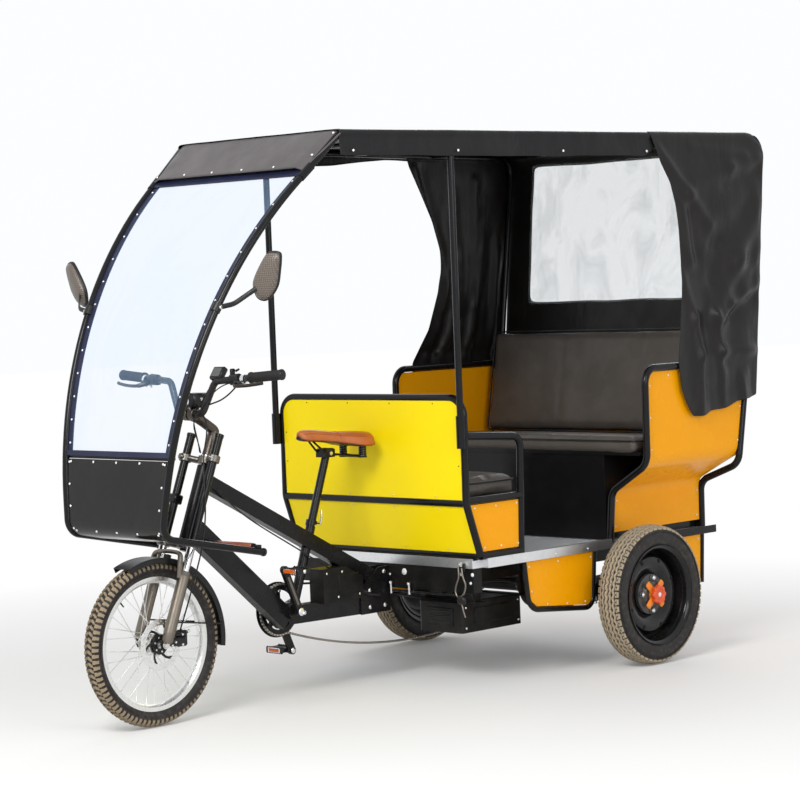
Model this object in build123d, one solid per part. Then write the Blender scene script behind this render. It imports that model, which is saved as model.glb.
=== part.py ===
from build123d import *
import math
import os

# Pedicab tricycle, millimetres. +X is forward, +Y is left, +Z is up.
# Every X in a table is measured from the rear axle; at() moves it into the part's frame,
# whose origin is the middle of the whole box, on the ground.

# Wheels
WHEELBASE = 1766.0
FRONT_R = 257.5
FRONT_TYRE_W = 57.0
FRONT_RIM_R = 210.0
FRONT_AXLE_R = 6.0
REAR_R = 240.0
REAR_TYRE_W = 92.0
REAR_RIM_R = 164.0
REAR_STUB_R = 15.0
REAR_TRACK_Y = 551.0
BORE_FIT = 0.05

# Steering: tilt of the axis, and the fork's legs ahead of it and down to the axle
TILT = 21.9
FORK_AHEAD = 30.0
LEG_Y = 67.0
LEG_LENGTH = 681.6
STEERER_R = 15.0

# Cabin
TUBE = 25.0
THIN_TUBE = 18.0
ROOF_TUBE = 22.0
SCREEN_TUBE = 22.0
BOW_TUBE = 16.0
SIDE_Y = 430.0
UPPER_Y = 597.0
FLOOR_TOP = 426.0
FLOOR_T = 26.0
FLOOR_REAR = -455.0
SHEET = 2.5
BOARD = 10.0
CLOTH = 3.0
SOFT_GAP = 0.3

# Drive
CRANK_X = 1190.0
CRANK_Z = 291.0
CRANK_ARM = 155.0
CRANK_ANGLE = 67.0
CRANK_Y = 56.0
SPINDLE_R = 9.0
PEDAL_AXLE_R = 4.5
CHAIN_Y = -42.0
RING_R = 81.0
SPROCKET_R = 28.0
CHAIN_T = 7.0
CHAIN_SLACK = (600.0, 112.0)

# Seat tube: foot, and how far it leans back for each millimetre up
SEAT_FOOT = (1170.0, 288.0)
SEAT_LEAN = 0.361
POST_D = 27.0
SEAT_TUBE_D = 32.0
SEAT_TUBE_TOP = 556.0

# Worked out from the sizes above
TILT_SIN = math.sin(math.radians(TILT))
TILT_COS = math.cos(math.radians(TILT))
STEER_X = WHEELBASE - LEG_LENGTH * TILT_SIN - FORK_AHEAD * TILT_COS
STEER_Z = FRONT_R + LEG_LENGTH * TILT_COS - FORK_AHEAD * TILT_SIN
AXLE_F = (WHEELBASE, FRONT_R)
CROSS_X = STEER_X + 46
CROSS_Z = STEER_Z - 334

# Roof: X, half width and height of each rail corner, then the rail's foot on the cabin
ROOF_RAIL = ((STEER_X - 251, 372.0, 1816.0), (800.0, 440.0, 1814.0), (-641.0, 592.0, 1810.0))
ROOF_FOOT = (-534.5, 590.0, 1012.0)
ROOF_TOP = 1831.0
POST_X = 804.0
REAR_END = -661.5

# Windscreen hoop, left side, from the roof joint down to the rear foot: X, Y, Z
HOOP_TOP = (STEER_X - 133, 362.0, 1714.0)
HOOP_KNEE = (STEER_X + 358, 307.0, 1291.6)
HOOP_FOOT = (STEER_X + 412, 226.0, CROSS_Z + 61)
HOOP_END = (CROSS_X - 19, 250.0, CROSS_Z - 17)
HOOP_R = 1430.0
HOOP_FOOT_R = 48.0
HOOP_BAR_Z = CROSS_Z + 300

X0 = -(WHEELBASE + FRONT_R + REAR_END) / 2


def at(x, y, z):
    """Point from the rear axle, the middle plane and the ground."""
    return Vector(X0 + x, y, z)


def seat_x(z):
    """X of the leaning seat tube at a height."""
    return SEAT_FOOT[0] - SEAT_LEAN * (z - SEAT_FOOT[1])


def flip(shape):
    """The same piece on the right side."""
    return shape.mirror(Plane.XZ)


def both(shape):
    return shape + flip(shape)


def bent(points, radii):
    """Straight runs joined by arcs; one radius for each inner point."""
    pts = [p if isinstance(p, Vector) else Vector(*p) for p in points]
    edges = []
    start = pts[0]
    for i in range(1, len(pts) - 1):
        back = (pts[i - 1] - pts[i]).normalized()
        ahead = (pts[i + 1] - pts[i]).normalized()
        half = math.acos(max(-1.0, min(1.0, back.dot(ahead)))) / 2
        run = radii[i - 1] / math.tan(half)
        a = pts[i] + back * run
        b = pts[i] + ahead * run
        inner = (back + ahead).normalized()
        mid = pts[i] + inner * (radii[i - 1] / math.sin(half) - radii[i - 1])
        if (a - start).length > 0.01:
            edges.append(Edge.make_line(start, a))
        edges.append(Edge.make_three_point_arc(a, mid, b))
        start = b
    edges.append(Edge.make_line(start, pts[-1]))
    return Wire(edges)


def tube(points, dia, radii=()):
    """Round tube along bent runs."""
    path = bent(points, list(radii))
    return sweep(Plane(origin=path @ 0, z_dir=path % 0) * Circle(dia / 2), path=path)


def rod(a, b, dia):
    a, b = Vector(*a), Vector(*b)
    return Plane(origin=(a + b) / 2, z_dir=b - a) * Cylinder(dia / 2, (b - a).length)


def across(x, y, z, dia):
    """Rod from side to side at one place in the side view."""
    return rod(at(x, -y, z), at(x, y, z), dia)


def bar(a, b, wide, high, side=(0, 1, 0)):
    """Box section bar from a to b; wide is along side."""
    a, b = Vector(*a), Vector(*b)
    place = Plane(origin=(a + b) / 2, x_dir=Vector(*side), z_dir=b - a)
    return place * Box(wide, high, (b - a).length)


def block(x0, x1, y0, y1, z0, z1):
    """Box between two corners."""
    mid = ((x0 + x1) / 2 + X0, (y0 + y1) / 2, (z0 + z1) / 2)
    return Location(mid) * Box(abs(x1 - x0), abs(y1 - y0), abs(z1 - z0))


def side_plate(outline, y0, y1):
    """Flat plate seen from the side: outline in X, Z, between two Y planes."""
    face = make_face(Polyline(*[at(x, 0, z) for x, z in outline], close=True))
    return Location((0, y0, 0)) * extrude(face, amount=y1 - y0, dir=(0, 1, 0))


def end_plate(outline, x0, x1):
    """Plate seen from the front: outline in Y, Z, between two X planes."""
    face = make_face(Polyline(*[(0, y, z) for y, z in outline], close=True))
    return Location((X0 + x0, 0, 0)) * extrude(face, amount=x1 - x0, dir=(1, 0, 0))


def top_plate(outline, z0, z1):
    """Plate seen from above: X and half width at each corner of its left edge."""
    edge = [at(x, y, z0) for x, y in outline] + [at(x, -y, z0) for x, y in reversed(outline)]
    return extrude(make_face(Polyline(*edge, close=True)), amount=z1 - z0, dir=(0, 0, 1))


def bent_sheet(points, radii, width, thick):
    """Sheet of one width that follows a bent line in the side view."""
    path = bent(points, radii)
    place = Plane(origin=path @ 0, x_dir=(0, 1, 0), z_dir=path % 0)
    return sweep(place * Rectangle(width, thick), path=path)


def disc(radius, y0, y1, x, z):
    """Cylinder lying along Y."""
    return Location(at(x, (y0 + y1) / 2, z), (90, 0, 0)) * Cylinder(radius, y1 - y0)


def turned(profile, x, y, z):
    """Profile of (radius, Y offset) turned round an axis along Y."""
    wire = Polyline(*[(r, dy, 0) for r, dy in profile], close=True)
    return Location(at(x, y, z)) * revolve(make_face(wire), Axis.Y, 360)


def join(parts):
    out = parts[0]
    for piece in parts[1:]:
        out = out + piece
    return out


def save(name, *shapes):
    solids = []
    for shape in shapes:
        solids.extend(shape.solids())
    export_step(Compound(children=solids) if len(solids) > 1 else solids[0], "parts/%s.step" % name)


def steer(x, y, z):
    """Place in the frame of the steering axis: x ahead of it, z up along it."""
    return STEER * Location((x, y, z))


def steer_at(x, y, z):
    return Vector(*steer(x, y, z).position)


def near_stem(x, y, z):
    """Point measured from the foot of the steering frame, without its tilt."""
    return at(STEER_X + x, y, STEER_Z + z)


os.makedirs("parts", exist_ok=True)
STEER = Location(at(STEER_X, 0, STEER_Z), (0, -TILT, 0))

# Main frame: head tube, beam, down tube, lower tube, seat tube and crank shell
HEAD_TOP, HEAD_LOW, HEAD_R = -98.0, -338.0, 24.0
FRAME_W, BEAM_H, DOWN_H, LOW_H = 40.0, 50.0, 70.0, 60.0
SHELL_R, SHELL_HALF = 27.0, 34.0
FRAME_END = 742.0

head_mid = (HEAD_TOP + HEAD_LOW) / 2
head = steer(0, 0, head_mid) * Cylinder(HEAD_R, HEAD_TOP - HEAD_LOW)
beam = bar(near_stem(32, 0, -144), at(FRAME_END - 20, 0, 312), FRAME_W, BEAM_H)
down = bar(near_stem(96, 0, -287), at(CRANK_X + 15, 0, CRANK_Z - 29), FRAME_W, DOWN_H)
low = bar(at(CRANK_X + 15, 0, CRANK_Z - 14), at(FRAME_END, 0, 270), FRAME_W, LOW_H)
seat_tube = rod(at(SEAT_FOOT[0], 0, SEAT_FOOT[1]), at(seat_x(SEAT_TUBE_TOP), 0, SEAT_TUBE_TOP),
                SEAT_TUBE_D)
shell = disc(SHELL_R, -SHELL_HALF, SHELL_HALF, CRANK_X, CRANK_Z)
cheek = ((FRAME_END, 240), (FRAME_END, 392), (792, 392), (880, 330), (880, 240))
cheeks = both(side_plate(cheek, FRAME_W / 2, FRAME_W / 2 + 6))
cross_bar = across(CROSS_X, 228, CROSS_Z, SCREEN_TUBE)
clamp = block(CROSS_X - 17, CROSS_X + 17, -FRAME_W / 2 - 4, FRAME_W / 2 + 4, CROSS_Z - 17, CROSS_Z + 17)
frame = join([head, beam, down, low, seat_tube, shell, cheeks, cross_bar, clamp])
frame = frame - steer(0, 0, head_mid) * Cylinder(STEERER_R + BORE_FIT, 300)
frame = frame - disc(SPINDLE_R + BORE_FIT, -60, 60, CRANK_X, CRANK_Z)
frame = frame - block(400, FRAME_END, -60, 60, 0, 500)
frame = frame - rod(at(seat_x(600), 0, 600), at(seat_x(470), 0, 470), POST_D)
save("main_frame", frame)

# Chassis under the floor
RAIL_Y, RAIL_LOW, RAIL_TOP = 300.0, 340.0, FLOOR_TOP - FLOOR_T
FLOOR_FRONT_Y = 414.0

rails = both(block(-440, 702, RAIL_Y - 20, RAIL_Y + 20, RAIL_LOW, RAIL_TOP))
cross = [block(702, FRAME_END, -FLOOR_FRONT_Y, FLOOR_FRONT_Y, 318, RAIL_TOP)]
cross += [block(x, x + 40, -320, 320, RAIL_LOW, RAIL_TOP) for x in (330, -180, -440)]
cross += [block(x, x + 30, -420, 420, RAIL_TOP - 28, RAIL_TOP) for x in (500, 160, -420)]
chassis = join([rails] + cross)
chassis = chassis - block(690, 810, CHAIN_Y - 16, CHAIN_Y + 16, 250, RAIL_TOP - 28)
save("chassis", chassis)

# Rear axle with its motor housing, drums and leaf springs
DRUM_Y = REAR_TRACK_Y - 113
SPRING_W, SPRING_T = 50.0, 14.0


def leaf(reach, top, dip, y):
    """One bowed spring leaf from front eye to rear eye."""
    arc = Edge.make_three_point_arc(at(-reach, y, top), at(0, y, dip), at(reach, y, top))
    place = Plane(origin=arc @ 0, x_dir=(0, 1, 0), z_dir=arc % 0)
    return sweep(place * Rectangle(SPRING_W, SPRING_T), path=arc)


axle = disc(25, -DRUM_Y - 20, DRUM_Y + 20, 0, REAR_R)
motor = disc(76, 10, 170, 0, REAR_R) + disc(92, 70, 84, 0, REAR_R)
sprocket = disc(SPROCKET_R, CHAIN_Y - 2, CHAIN_Y + 2, 0, REAR_R)
drum = disc(80, DRUM_Y, DRUM_Y + 40, 0, REAR_R)
stub = disc(REAR_STUB_R, DRUM_Y + 30, REAR_TRACK_Y - 3, 0, REAR_R)
spring = [leaf(330, 318, 277, RAIL_Y), leaf(190, 286, 270, RAIL_Y),
          block(-45, 45, RAIL_Y - 30, RAIL_Y + 30, 205, 268)]
for x in (-330, 330):
    spring.append(disc(14, RAIL_Y - 25, RAIL_Y + 25, x, 318))
    spring.append(disc(6, RAIL_Y - 32, RAIL_Y + 32, x, 318))
    for y in (RAIL_Y - 32, RAIL_Y + 26):
        spring.append(block(x - 20, x + 20, y, y + 6, 296, RAIL_LOW))
save("rear_axle", join([axle, motor, sprocket, both(join([drum, stub] + spring))]))

# Box hung from the left chassis rail, and the drive's control box under the beam
battery = fillet(block(330, 630, 50, 250, 160, 262).edges().filter_by(Axis.Z), 12)
straps = [block(x, x + 30, 50, 320, 262, 268) + block(x, x + 30, 284, 292, 262, RAIL_LOW)
          for x in (350, 580)]
control = side_plate(((884, 300), (1066, 300), (1066, 413), (962, 413), (884, 372)), -24, 43)
save("power_boxes", join([battery] + straps), control - frame)

# Floor plate with its bright edge between the cabin's front corners
TRIM_Y, TRIM_TOP, DOOR_X = 442.5, FLOOR_TOP + 6, 66.0

floor = join([block(FLOOR_REAR - 2, DOOR_X, -440, 440, RAIL_TOP, FLOOR_TOP),
              block(DOOR_X, FRAME_END, -FLOOR_FRONT_Y, FLOOR_FRONT_Y, RAIL_TOP, FLOOR_TOP),
              block(FRAME_END, FRAME_END + 3, -FLOOR_FRONT_Y, FLOOR_FRONT_Y, RAIL_TOP, TRIM_TOP),
              both(block(DOOR_X, 700, FLOOR_FRONT_Y, 428, RAIL_TOP, FLOOR_TOP)),
              both(block(DOOR_X, 700, 428, TRIM_Y, RAIL_TOP, TRIM_TOP))])
save("floor", floor)

# Cabin front: a closed hoop of tube with two rails. Corner table: X, Z
WALL_FOOT, WALL_BEND, WALL_TOP = (720.0, 440.0), (781.0, 618.0), (777.0, 962.0)
RAIL_TUBE = TUBE - 0.6

left_side = [at(x, SIDE_Y, z) for x, z in (WALL_FOOT, WALL_BEND, WALL_TOP)]
right_side = [at(x, -SIDE_Y, z) for x, z in (WALL_TOP, WALL_BEND, WALL_FOOT)]
hoop = tube(left_side + right_side, TUBE, (60, 60, 60, 60))
cabin_front = join([hoop, across(WALL_FOOT[0], SIDE_Y, WALL_FOOT[1], RAIL_TUBE),
                    across(WALL_BEND[0] - 1, SIDE_Y, WALL_BEND[1], RAIL_TUBE)]) - floor
save("cabin_front", cabin_front)

# Cabin sides: arm rest, sill, skirt rail, and the rear panel's outline that steps out
# over the wheel
arm = tube([at(524, SIDE_Y, 422), at(508, SIDE_Y, 822), at(772, SIDE_Y, 838)], TUBE, (42,))
middle = rod(at(510, SIDE_Y, 625), at(WALL_BEND[0], SIDE_Y, 625), TUBE)
sill = rod(at(523, SIDE_Y, 440), at(WALL_FOOT[0], SIDE_Y, 440), TUBE)
skirt = tube([at(512, SIDE_Y, 402), at(492, SIDE_Y, 236), at(165, SIDE_Y, 206),
              at(150, SIDE_Y, 402)], THIN_TUBE, (55, 40))
outline = tube([at(60, SIDE_Y, 420), at(42, SIDE_Y, 594), at(50, UPPER_Y, 694),
                at(47, UPPER_Y, 1020), at(-532, UPPER_Y, 1020), at(-463, UPPER_Y, 655),
                at(-457, SIDE_Y, 590), at(FLOOR_REAR, SIDE_Y, 420)],
               TUBE, (50, 60, 55, 50, 50, 50))
flap_rod = rod(at(FLOOR_REAR, SIDE_Y, 440), at(-442, SIDE_Y, 225), THIN_TUBE)
cabin_side = join([arm, middle, sill, skirt, outline, flap_rod]) - cabin_front - floor
save("cabin_side_left", cabin_side)
save("cabin_side_right", flip(cabin_side))

sides = both(cabin_side)
rear_top = across(-520, UPPER_Y, 1008, TUBE)
cabin_rear = (across(FLOOR_REAR, SIDE_Y, 437, TUBE) - floor - sides, rear_top - sides)
save("cabin_rear", *cabin_rear)
cabin = join([cabin_front, sides] + list(cabin_rear))

# Front wall sheets
sheet_y = SIDE_Y - 6
upper = block(783.5, 783.5 + SHEET, -sheet_y, sheet_y, WALL_BEND[1] + 8, WALL_TOP[1] - 6)
upper = fillet(upper.edges().filter_by(Axis.X).group_by(Axis.Z)[-1], 54)
slope = bar(at(780, 0, 607.5), at(726.9, 0, 448.5), 2 * sheet_y - 4, SHEET)
save("front_panels", upper - cabin, slope - cabin)

# Side sheets: the low panel by the door, the skirt under the floor and the rear flap
side_sheets = []
for shape in (((524, 454), (520, 611), (764, 611), (764, 604), (715, 454)),
              ((502, 398), (489, 270), (455, 244), (192, 219), (170, 235), (158, 398)),
              ((-340, 398), (-443, 398), (-434, 230), (-352, 230))):
    side_sheets.append(side_plate(shape, SIDE_Y - 1, SIDE_Y + SHEET - 1) - cabin)
save("side_panels", *side_sheets, *[flip(sheet) for sheet in side_sheets])

# Rear side sheets: upright low, out over the wheel, upright high
bend = bent([at(0, SIDE_Y - 1, 452), at(0, SIDE_Y - 1, 600), at(0, UPPER_Y - 1, 690),
             at(0, UPPER_Y - 1, 1006)], (46, 56))
place = Plane(origin=bend @ 0, x_dir=(1, 0, 0), z_dir=bend % 0)
skin = Location((-200, 0, 0)) * sweep(place * Rectangle(600, SHEET), path=bend)
skin = skin & side_plate(((33, 1006), (36, 694), (28, 596), (46, 452), (-441, 452), (-443, 590),
                          (-449, 657), (-516, 1006)), 300, 700)
skin = skin - cabin
save("rear_panels", skin, flip(skin))

# Rear wall sheet
REAR_WALL = ((FLOOR_REAR, 440), (-460, 650), (-521, 1006))
wall_low, wall_high = SIDE_Y - 5, UPPER_Y - 5

rear = bent_sheet([at(x, 0, z) for x, z in REAR_WALL], (300,), 1300, SHEET)
rear = rear & end_plate(((-wall_low, 430), (wall_low, 430), (wall_low, 600), (wall_high, 690),
                         (wall_high, 1100), (-wall_high, 1100), (-wall_high, 690),
                         (-wall_low, 600)), -600, -400)
rear = rear - cabin
save("rear_wall", rear)

# Seat boxes: four boards and a top, standing on the floor
SEAT_TOP, JUMP_TOP = 735.0, 628.0


def seat_box(x0, x1, half, top):
    """Hollow box of boards, open to the floor below."""
    outer = block(x0, x1, -half, half, FLOOR_TOP, top)
    inner = block(x0 + BOARD, x1 - BOARD, -half + BOARD, half - BOARD, FLOOR_TOP, top - BOARD)
    return outer - inner


def behind(gap):
    """Everything behind the rear wall sheet, for cutting what leans on it."""
    edge = SHEET / 2 + gap + 0.05
    front = [(x + edge, z) for x, z in REAR_WALL]
    return side_plate(front + [(-549 + edge, 1170), (-700, 1170), (-700, 440)], -650, 650)


bench = seat_box(-440, 55, 410, SEAT_TOP - 13)
bench = bench + block(-480, 62, -575, 575, SEAT_TOP - 13, SEAT_TOP) - behind(0)
jump = seat_box(545, 695, 405, JUMP_TOP - 10) + block(508, 745, -405, 405, JUMP_TOP - 10, JUMP_TOP)
save("seat_boxes", bench - cabin, jump - cabin)

# Cushions
CUSHION_TOP = SEAT_TOP + 50
seat_pad = block(-500, 85, -572, 572, SEAT_TOP + SOFT_GAP, CUSHION_TOP) - behind(SOFT_GAP)
save("bench_cushion", fillet(seat_pad.edges(), 14))
jump_pad = block(500, 752, -402, 402, JUMP_TOP + SOFT_GAP, 690)
save("jump_cushion", fillet(jump_pad.edges(), 14))
back = side_plate(((-410, CUSHION_TOP + SOFT_GAP), (-475, 1142), (-543.8, 1142),
                   (-483, CUSHION_TOP + SOFT_GAP)), -566, 566) - behind(SOFT_GAP)
back = fillet(back.edges(), 12) - across(-520, UPPER_Y, 1008, TUBE + 2 * SOFT_GAP)
save("bench_backrest", back)

# Roof frame: rails that run down into the rear legs, posts in sleeves, and bows
SLEEVE_LOW, SLEEVE_TOP, SLEEVE_D = 800.0, 906.0, 30.0
BOWS = (ROOF_RAIL[0][0] - 18, ROOF_RAIL[1][0] + 2, 330.0, -130.0, -590.0)


def roof_half(x):
    """Half width of the roof rails at a place along the vehicle."""
    i = 0 if x > ROOF_RAIL[1][0] else 1
    (xa, ya, _), (xb, yb, _) = ROOF_RAIL[i], ROOF_RAIL[i + 1]
    return ya + (yb - ya) * (x - xa) / (xb - xa)


_, post_y, rail_z = ROOF_RAIL[1]
rail = tube([at(*HOOP_TOP)] + [at(*p) for p in ROOF_RAIL] + [at(*ROOF_FOOT)], ROOF_TUBE, (60, 400, 60))
post = rod(at(POST_X, post_y, SLEEVE_LOW), at(POST_X, post_y, rail_z - 4), ROOF_TUBE)
sleeve = rod(at(POST_X, post_y, SLEEVE_LOW), at(POST_X, post_y, SLEEVE_TOP), SLEEVE_D)
clip = block(783, POST_X, post_y - 5, post_y + 5, 850, 870)
bows = [across(x, roof_half(x), rail_z - 1, BOW_TUBE) for x in BOWS]
roof = join([both(join([rail, post, sleeve, clip]))] + bows) - cabin
save("roof_frame", roof)

# Roof cloth: top, front slope and a flap along each side
FLAP_LEFT, FLAP_RIGHT = 86.0, 60.0
ROOF_SKIN = ((ROOF_RAIL[0][0] + 10, 386.0), (802.0, 455.0), (REAR_END, 612.0))


def flap(depth):
    """Strip of cloth that hangs from the left edge of the roof."""
    strips = []
    for (xa, ya), (xb, yb) in zip(ROOF_SKIN, ROOF_SKIN[1:]):
        edge = Polyline(at(xa, ya, ROOF_TOP), at(xb, yb, ROOF_TOP), at(xb, yb - CLOTH, ROOF_TOP),
                        at(xa, ya - CLOTH, ROOF_TOP), close=True)
        strips.append(extrude(make_face(edge), amount=depth, dir=(0, 0, -1)))
    return join(strips)


front_x = ROOF_RAIL[0][0] + 8
slope = side_plate(((front_x, ROOF_TOP), (front_x + 0.5, ROOF_TOP - 2.6),
                    (HOOP_TOP[0] + 29.5, HOOP_TOP[2] - 4.8), (HOOP_TOP[0] + 31.5, HOOP_TOP[2] - 2.5)),
                   -386, 386)
slope = slope & end_plate(((-357, 1700), (357, 1700), (386, 1835), (-386, 1835)),
                          front_x - 50, front_x + 250)
top = top_plate(ROOF_SKIN, ROOF_TOP - CLOTH, ROOF_TOP)
save("canopy", join([top, flap(FLAP_LEFT), flip(flap(FLAP_RIGHT)), slope]))

# Rear curtain with its clear window: it leans in towards its lower edge
CURTAIN_TOP, CURTAIN_LOW, CURTAIN_FOOT_X = 1827.0, 905.0, -565.0
WINDOW_Y, WINDOW_LOW, WINDOW_TOP = 485.0, 1251.0, 1768.0


def rear_line(z):
    """X of the rear curtain's outer face at a height."""
    fall = (CURTAIN_FOOT_X - REAR_END) / (CURTAIN_TOP - CURTAIN_LOW)
    return REAR_END + (CURTAIN_TOP - z) * fall


def leaning(thin, half):
    """Sheet on the rear curtain's line; thin is taken off both faces."""
    near, far = thin, CLOTH - thin
    return side_plate(((REAR_END + near, CURTAIN_TOP), (REAR_END + far, CURTAIN_TOP),
                       (CURTAIN_FOOT_X + far, CURTAIN_LOW), (CURTAIN_FOOT_X + near, CURTAIN_LOW)),
                      -half, half)


pane_y = WINDOW_Y - 0.4
save("rear_curtain", leaning(0, 608) - block(-800, -500, -WINDOW_Y, WINDOW_Y, WINDOW_LOW, WINDOW_TOP))
save("rear_window", leaning(0.8, pane_y) & block(-800, -500, -pane_y, pane_y, WINDOW_LOW + 0.4,
                                                 WINDOW_TOP - 0.4))

# Side curtains: cloth from the roof edge out over the cabin rail, then straight down
HANG_TOP = 1040.0
LEFT_TOP = ROOF_TOP - FLAP_LEFT - 1
RIGHT_TOP = ROOF_TOP - FLAP_RIGHT - 1
LEFT_FRONT = ((-53, LEFT_TOP), (-110, 1610), (-150, 1480), (-176, 1330), (-182, 1180), (-170, 1010),
              (-196, 912), (-222, 845), (-247, 839))
RIGHT_FRONT = ((-14, RIGHT_TOP), (-80, 1680), (-160, 1570), (-208, 1463), (-212, 1380), (-200, 1300),
               (-140, 1140), (-48, 1037))


def curtain(front, low, top):
    """Left curtain with a shaped front edge; its rear edge follows the rear curtain."""
    def section(y_front, y_rear, z):
        return make_face(Polyline(at(20, y_front, z), at(-657, y_rear, z), at(-657, y_rear + CLOTH, z),
                                  at(20, y_front + CLOTH, z), close=True))
    rear_gap = CLOTH + SOFT_GAP
    outline = list(front) + [(rear_line(low) + rear_gap, low), (rear_line(top) + rear_gap, top)]
    upper = loft([section(538, 608.6, top), section(612, 612, HANG_TOP)], ruled=True)
    lower = block(20, -657, 612, 612 + CLOTH, 800, HANG_TOP)
    return (upper + lower) & side_plate(outline, 500, 700)


save("curtain_left", curtain(LEFT_FRONT, 900, LEFT_TOP))
save("curtain_right", flip(curtain(RIGHT_FRONT, 1037, RIGHT_TOP)))

# Windscreen hoop
SCREEN_TIE = 27.0
share = (HOOP_BAR_Z - HOOP_FOOT[2]) / (HOOP_KNEE[2] - HOOP_FOOT[2])
bar_y = HOOP_FOOT[1] + share * (HOOP_KNEE[1] - HOOP_FOOT[1])

leg = tube([at(*HOOP_TOP), at(*HOOP_KNEE), at(*HOOP_FOOT), at(*HOOP_END)], SCREEN_TUBE,
           (HOOP_R, HOOP_FOOT_R))
joint = rod(at(HOOP_TOP[0] - 1.4, HOOP_TOP[1] + 0.2, HOOP_TOP[2] + 1.2),
            at(HOOP_TOP[0] + 42, HOOP_TOP[1] - 4.6, HOOP_TOP[2] - 36), SCREEN_TIE)
tie = block(CROSS_X - 10, CROSS_X + 10, 228, HOOP_END[1], CROSS_Z - 19, CROSS_Z + 7)
screen = join([both(join([leg, joint, tie])),
               across(HOOP_FOOT[0] - 34, bar_y, HOOP_BAR_Z, BOW_TUBE),
               across(HOOP_TOP[0] + 3, HOOP_TOP[1] - 2, HOOP_TOP[2] - 2, BOW_TUBE)])
screen = screen - roof - frame
save("windshield_frame", screen)

# Clear sheet and dark apron between the legs of the hoop
SCREEN_EDGE = SCREEN_TUBE / 2 + 0.5
BAR_EDGE = BOW_TUBE / 2 + 0.3


def screen_half(z):
    """Half width between the hoop's tubes at a height."""
    low, high = (HOOP_FOOT, HOOP_KNEE) if z < HOOP_KNEE[2] else (HOOP_KNEE, HOOP_TOP)
    return low[1] + (high[1] - low[1]) * (z - low[2]) / (high[2] - low[2]) - SCREEN_EDGE


def between(*levels):
    """Space between the hoop's tubes, from the first height to the last."""
    left = [(screen_half(z), z) for z in levels]
    right = [(-y, z) for y, z in reversed(left)]
    return end_plate(left + right, HOOP_TOP[0] - 60, HOOP_FOOT[0] + 60)


def screen_sheet(thick):
    line = [at(x, 0, z) for x, _, z in (HOOP_TOP, HOOP_KNEE, HOOP_FOOT)]
    line.append(at(HOOP_FOOT[0] - 196, 0, HOOP_FOOT[2] - 46))
    return bent_sheet(line, (HOOP_R, HOOP_FOOT_R), 760, thick)


film = screen_sheet(2) & between(HOOP_BAR_Z + BAR_EDGE, HOOP_KNEE[2], HOOP_TOP[2] - 9.8)
save("windshield_film", film - screen)
apron = screen_sheet(4) & between(CROSS_Z + 15, HOOP_BAR_Z - BAR_EDGE)
save("apron", apron & block(HOOP_FOOT[0] - 96, HOOP_FOOT[0] + 64, -400, 400, 500, 900))

# Mirrors: leaf-shaped shell on a bent flat stalk. Outline in Y, Z from the middle
MIRROR = (STEER_X + 159, 461.0, 1377.0)
MIRROR_DEPTH = 22.0
MIRROR_LEAF = ((-28, 66), (34, 72), (44, 50), (22, -52), (4, -70), (-26, -62), (-42, -20))
STALK_W, STALK_T = 15.0, 6.0


def leaf_face(scale, x):
    face = make_face(Polyline(*[(y * scale, z * scale) for y, z in MIRROR_LEAF], close=True))
    return Plane(origin=(x, 0, 0), x_dir=(0, 1, 0), z_dir=(1, 0, 0)) * fillet(face.vertices(), 9 * scale)


stalk_line = [at(MIRROR[0] + 68, 308, 1290), at(MIRROR[0] + 57, 372, 1300),
              at(MIRROR[0] - 1, 441, 1357)]
path = bent(stalk_line, (22,))
stalk = sweep(Plane(origin=path @ 0, x_dir=(0, 0, 1), z_dir=path % 0) * Rectangle(STALK_W, STALK_T),
              path=path)
grip = rod(at(MIRROR[0] + 62, 308.4, 1303), at(MIRROR[0] + 76, 305.6, 1279), 31)
grip = grip & block(MIRROR[0] - 50, MIRROR[0] + 150, 297.5, 400, 1200, 1400)
shell_body = loft([leaf_face(1.0, -MIRROR_DEPTH / 2), leaf_face(0.72, MIRROR_DEPTH / 2)])
shell_body = Location(at(*MIRROR), (0, 8, -6)) * shell_body
mirror = join([stalk, grip, shell_body]) - screen
save("mirrors", mirror, flip(mirror))

# Saddle: X, half width, top and underside of each section
SADDLE = ((1110, 10, 868, 852), (1098, 22, 873, 838), (1040, 24, 872, 830), (980, 34, 868, 822),
          (930, 55, 863, 812), (880, 78, 859, 802), (842, 80, 855, 800), (826, 66, 848, 806))
CLAMP_LOW, CLAMP_TOP = 778.0, 805.0
WIRE_D = 7.0


def saddle_body(grow, sections=SADDLE):
    rings = []
    for x, half, high, under in sections:
        place = Plane(origin=at(x, 0, (high + under) / 2), x_dir=(0, 1, 0), z_dir=(1, 0, 0))
        rings.append(place * Ellipse(half + grow, (high - under) / 2 + grow))
    return loft(rings, ruled=False)


save("saddle", saddle_body(0))

# Seat post with its collar and clamp, and the saddle's wires and springs
POST_LOW = 471.0
COLLAR_LOW, COLLAR_TOP, COLLAR_D = SEAT_TUBE_TOP + 0.4, 574.0, 38.0

post = rod(at(seat_x(POST_LOW), 0, POST_LOW), at(seat_x(CLAMP_TOP - 6), 0, CLAMP_TOP - 6),
           POST_D - 2 * BORE_FIT)
collar = rod(at(seat_x(COLLAR_LOW), 0, COLLAR_LOW), at(seat_x(COLLAR_TOP), 0, COLLAR_TOP), COLLAR_D)
collar = collar & block(900, 1200, -60, 60, COLLAR_LOW + 4, 700)
wire = tube([at(868, 34, 772), at(916, 24, 781), at(1004, 20, 787), at(1068, 8, 844)], WIRE_D, (40, 30))
spring = rod(at(866, 46, 769), at(866, 46, 816), 26)
under = both(join([wire, spring])) + across(868, 46, 773, 10)
clamp = block(972, 1014, -24, 24, CLAMP_LOW, CLAMP_TOP)
save("seatpost", join([post, collar, clamp, under]) - saddle_body(SOFT_GAP))


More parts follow.
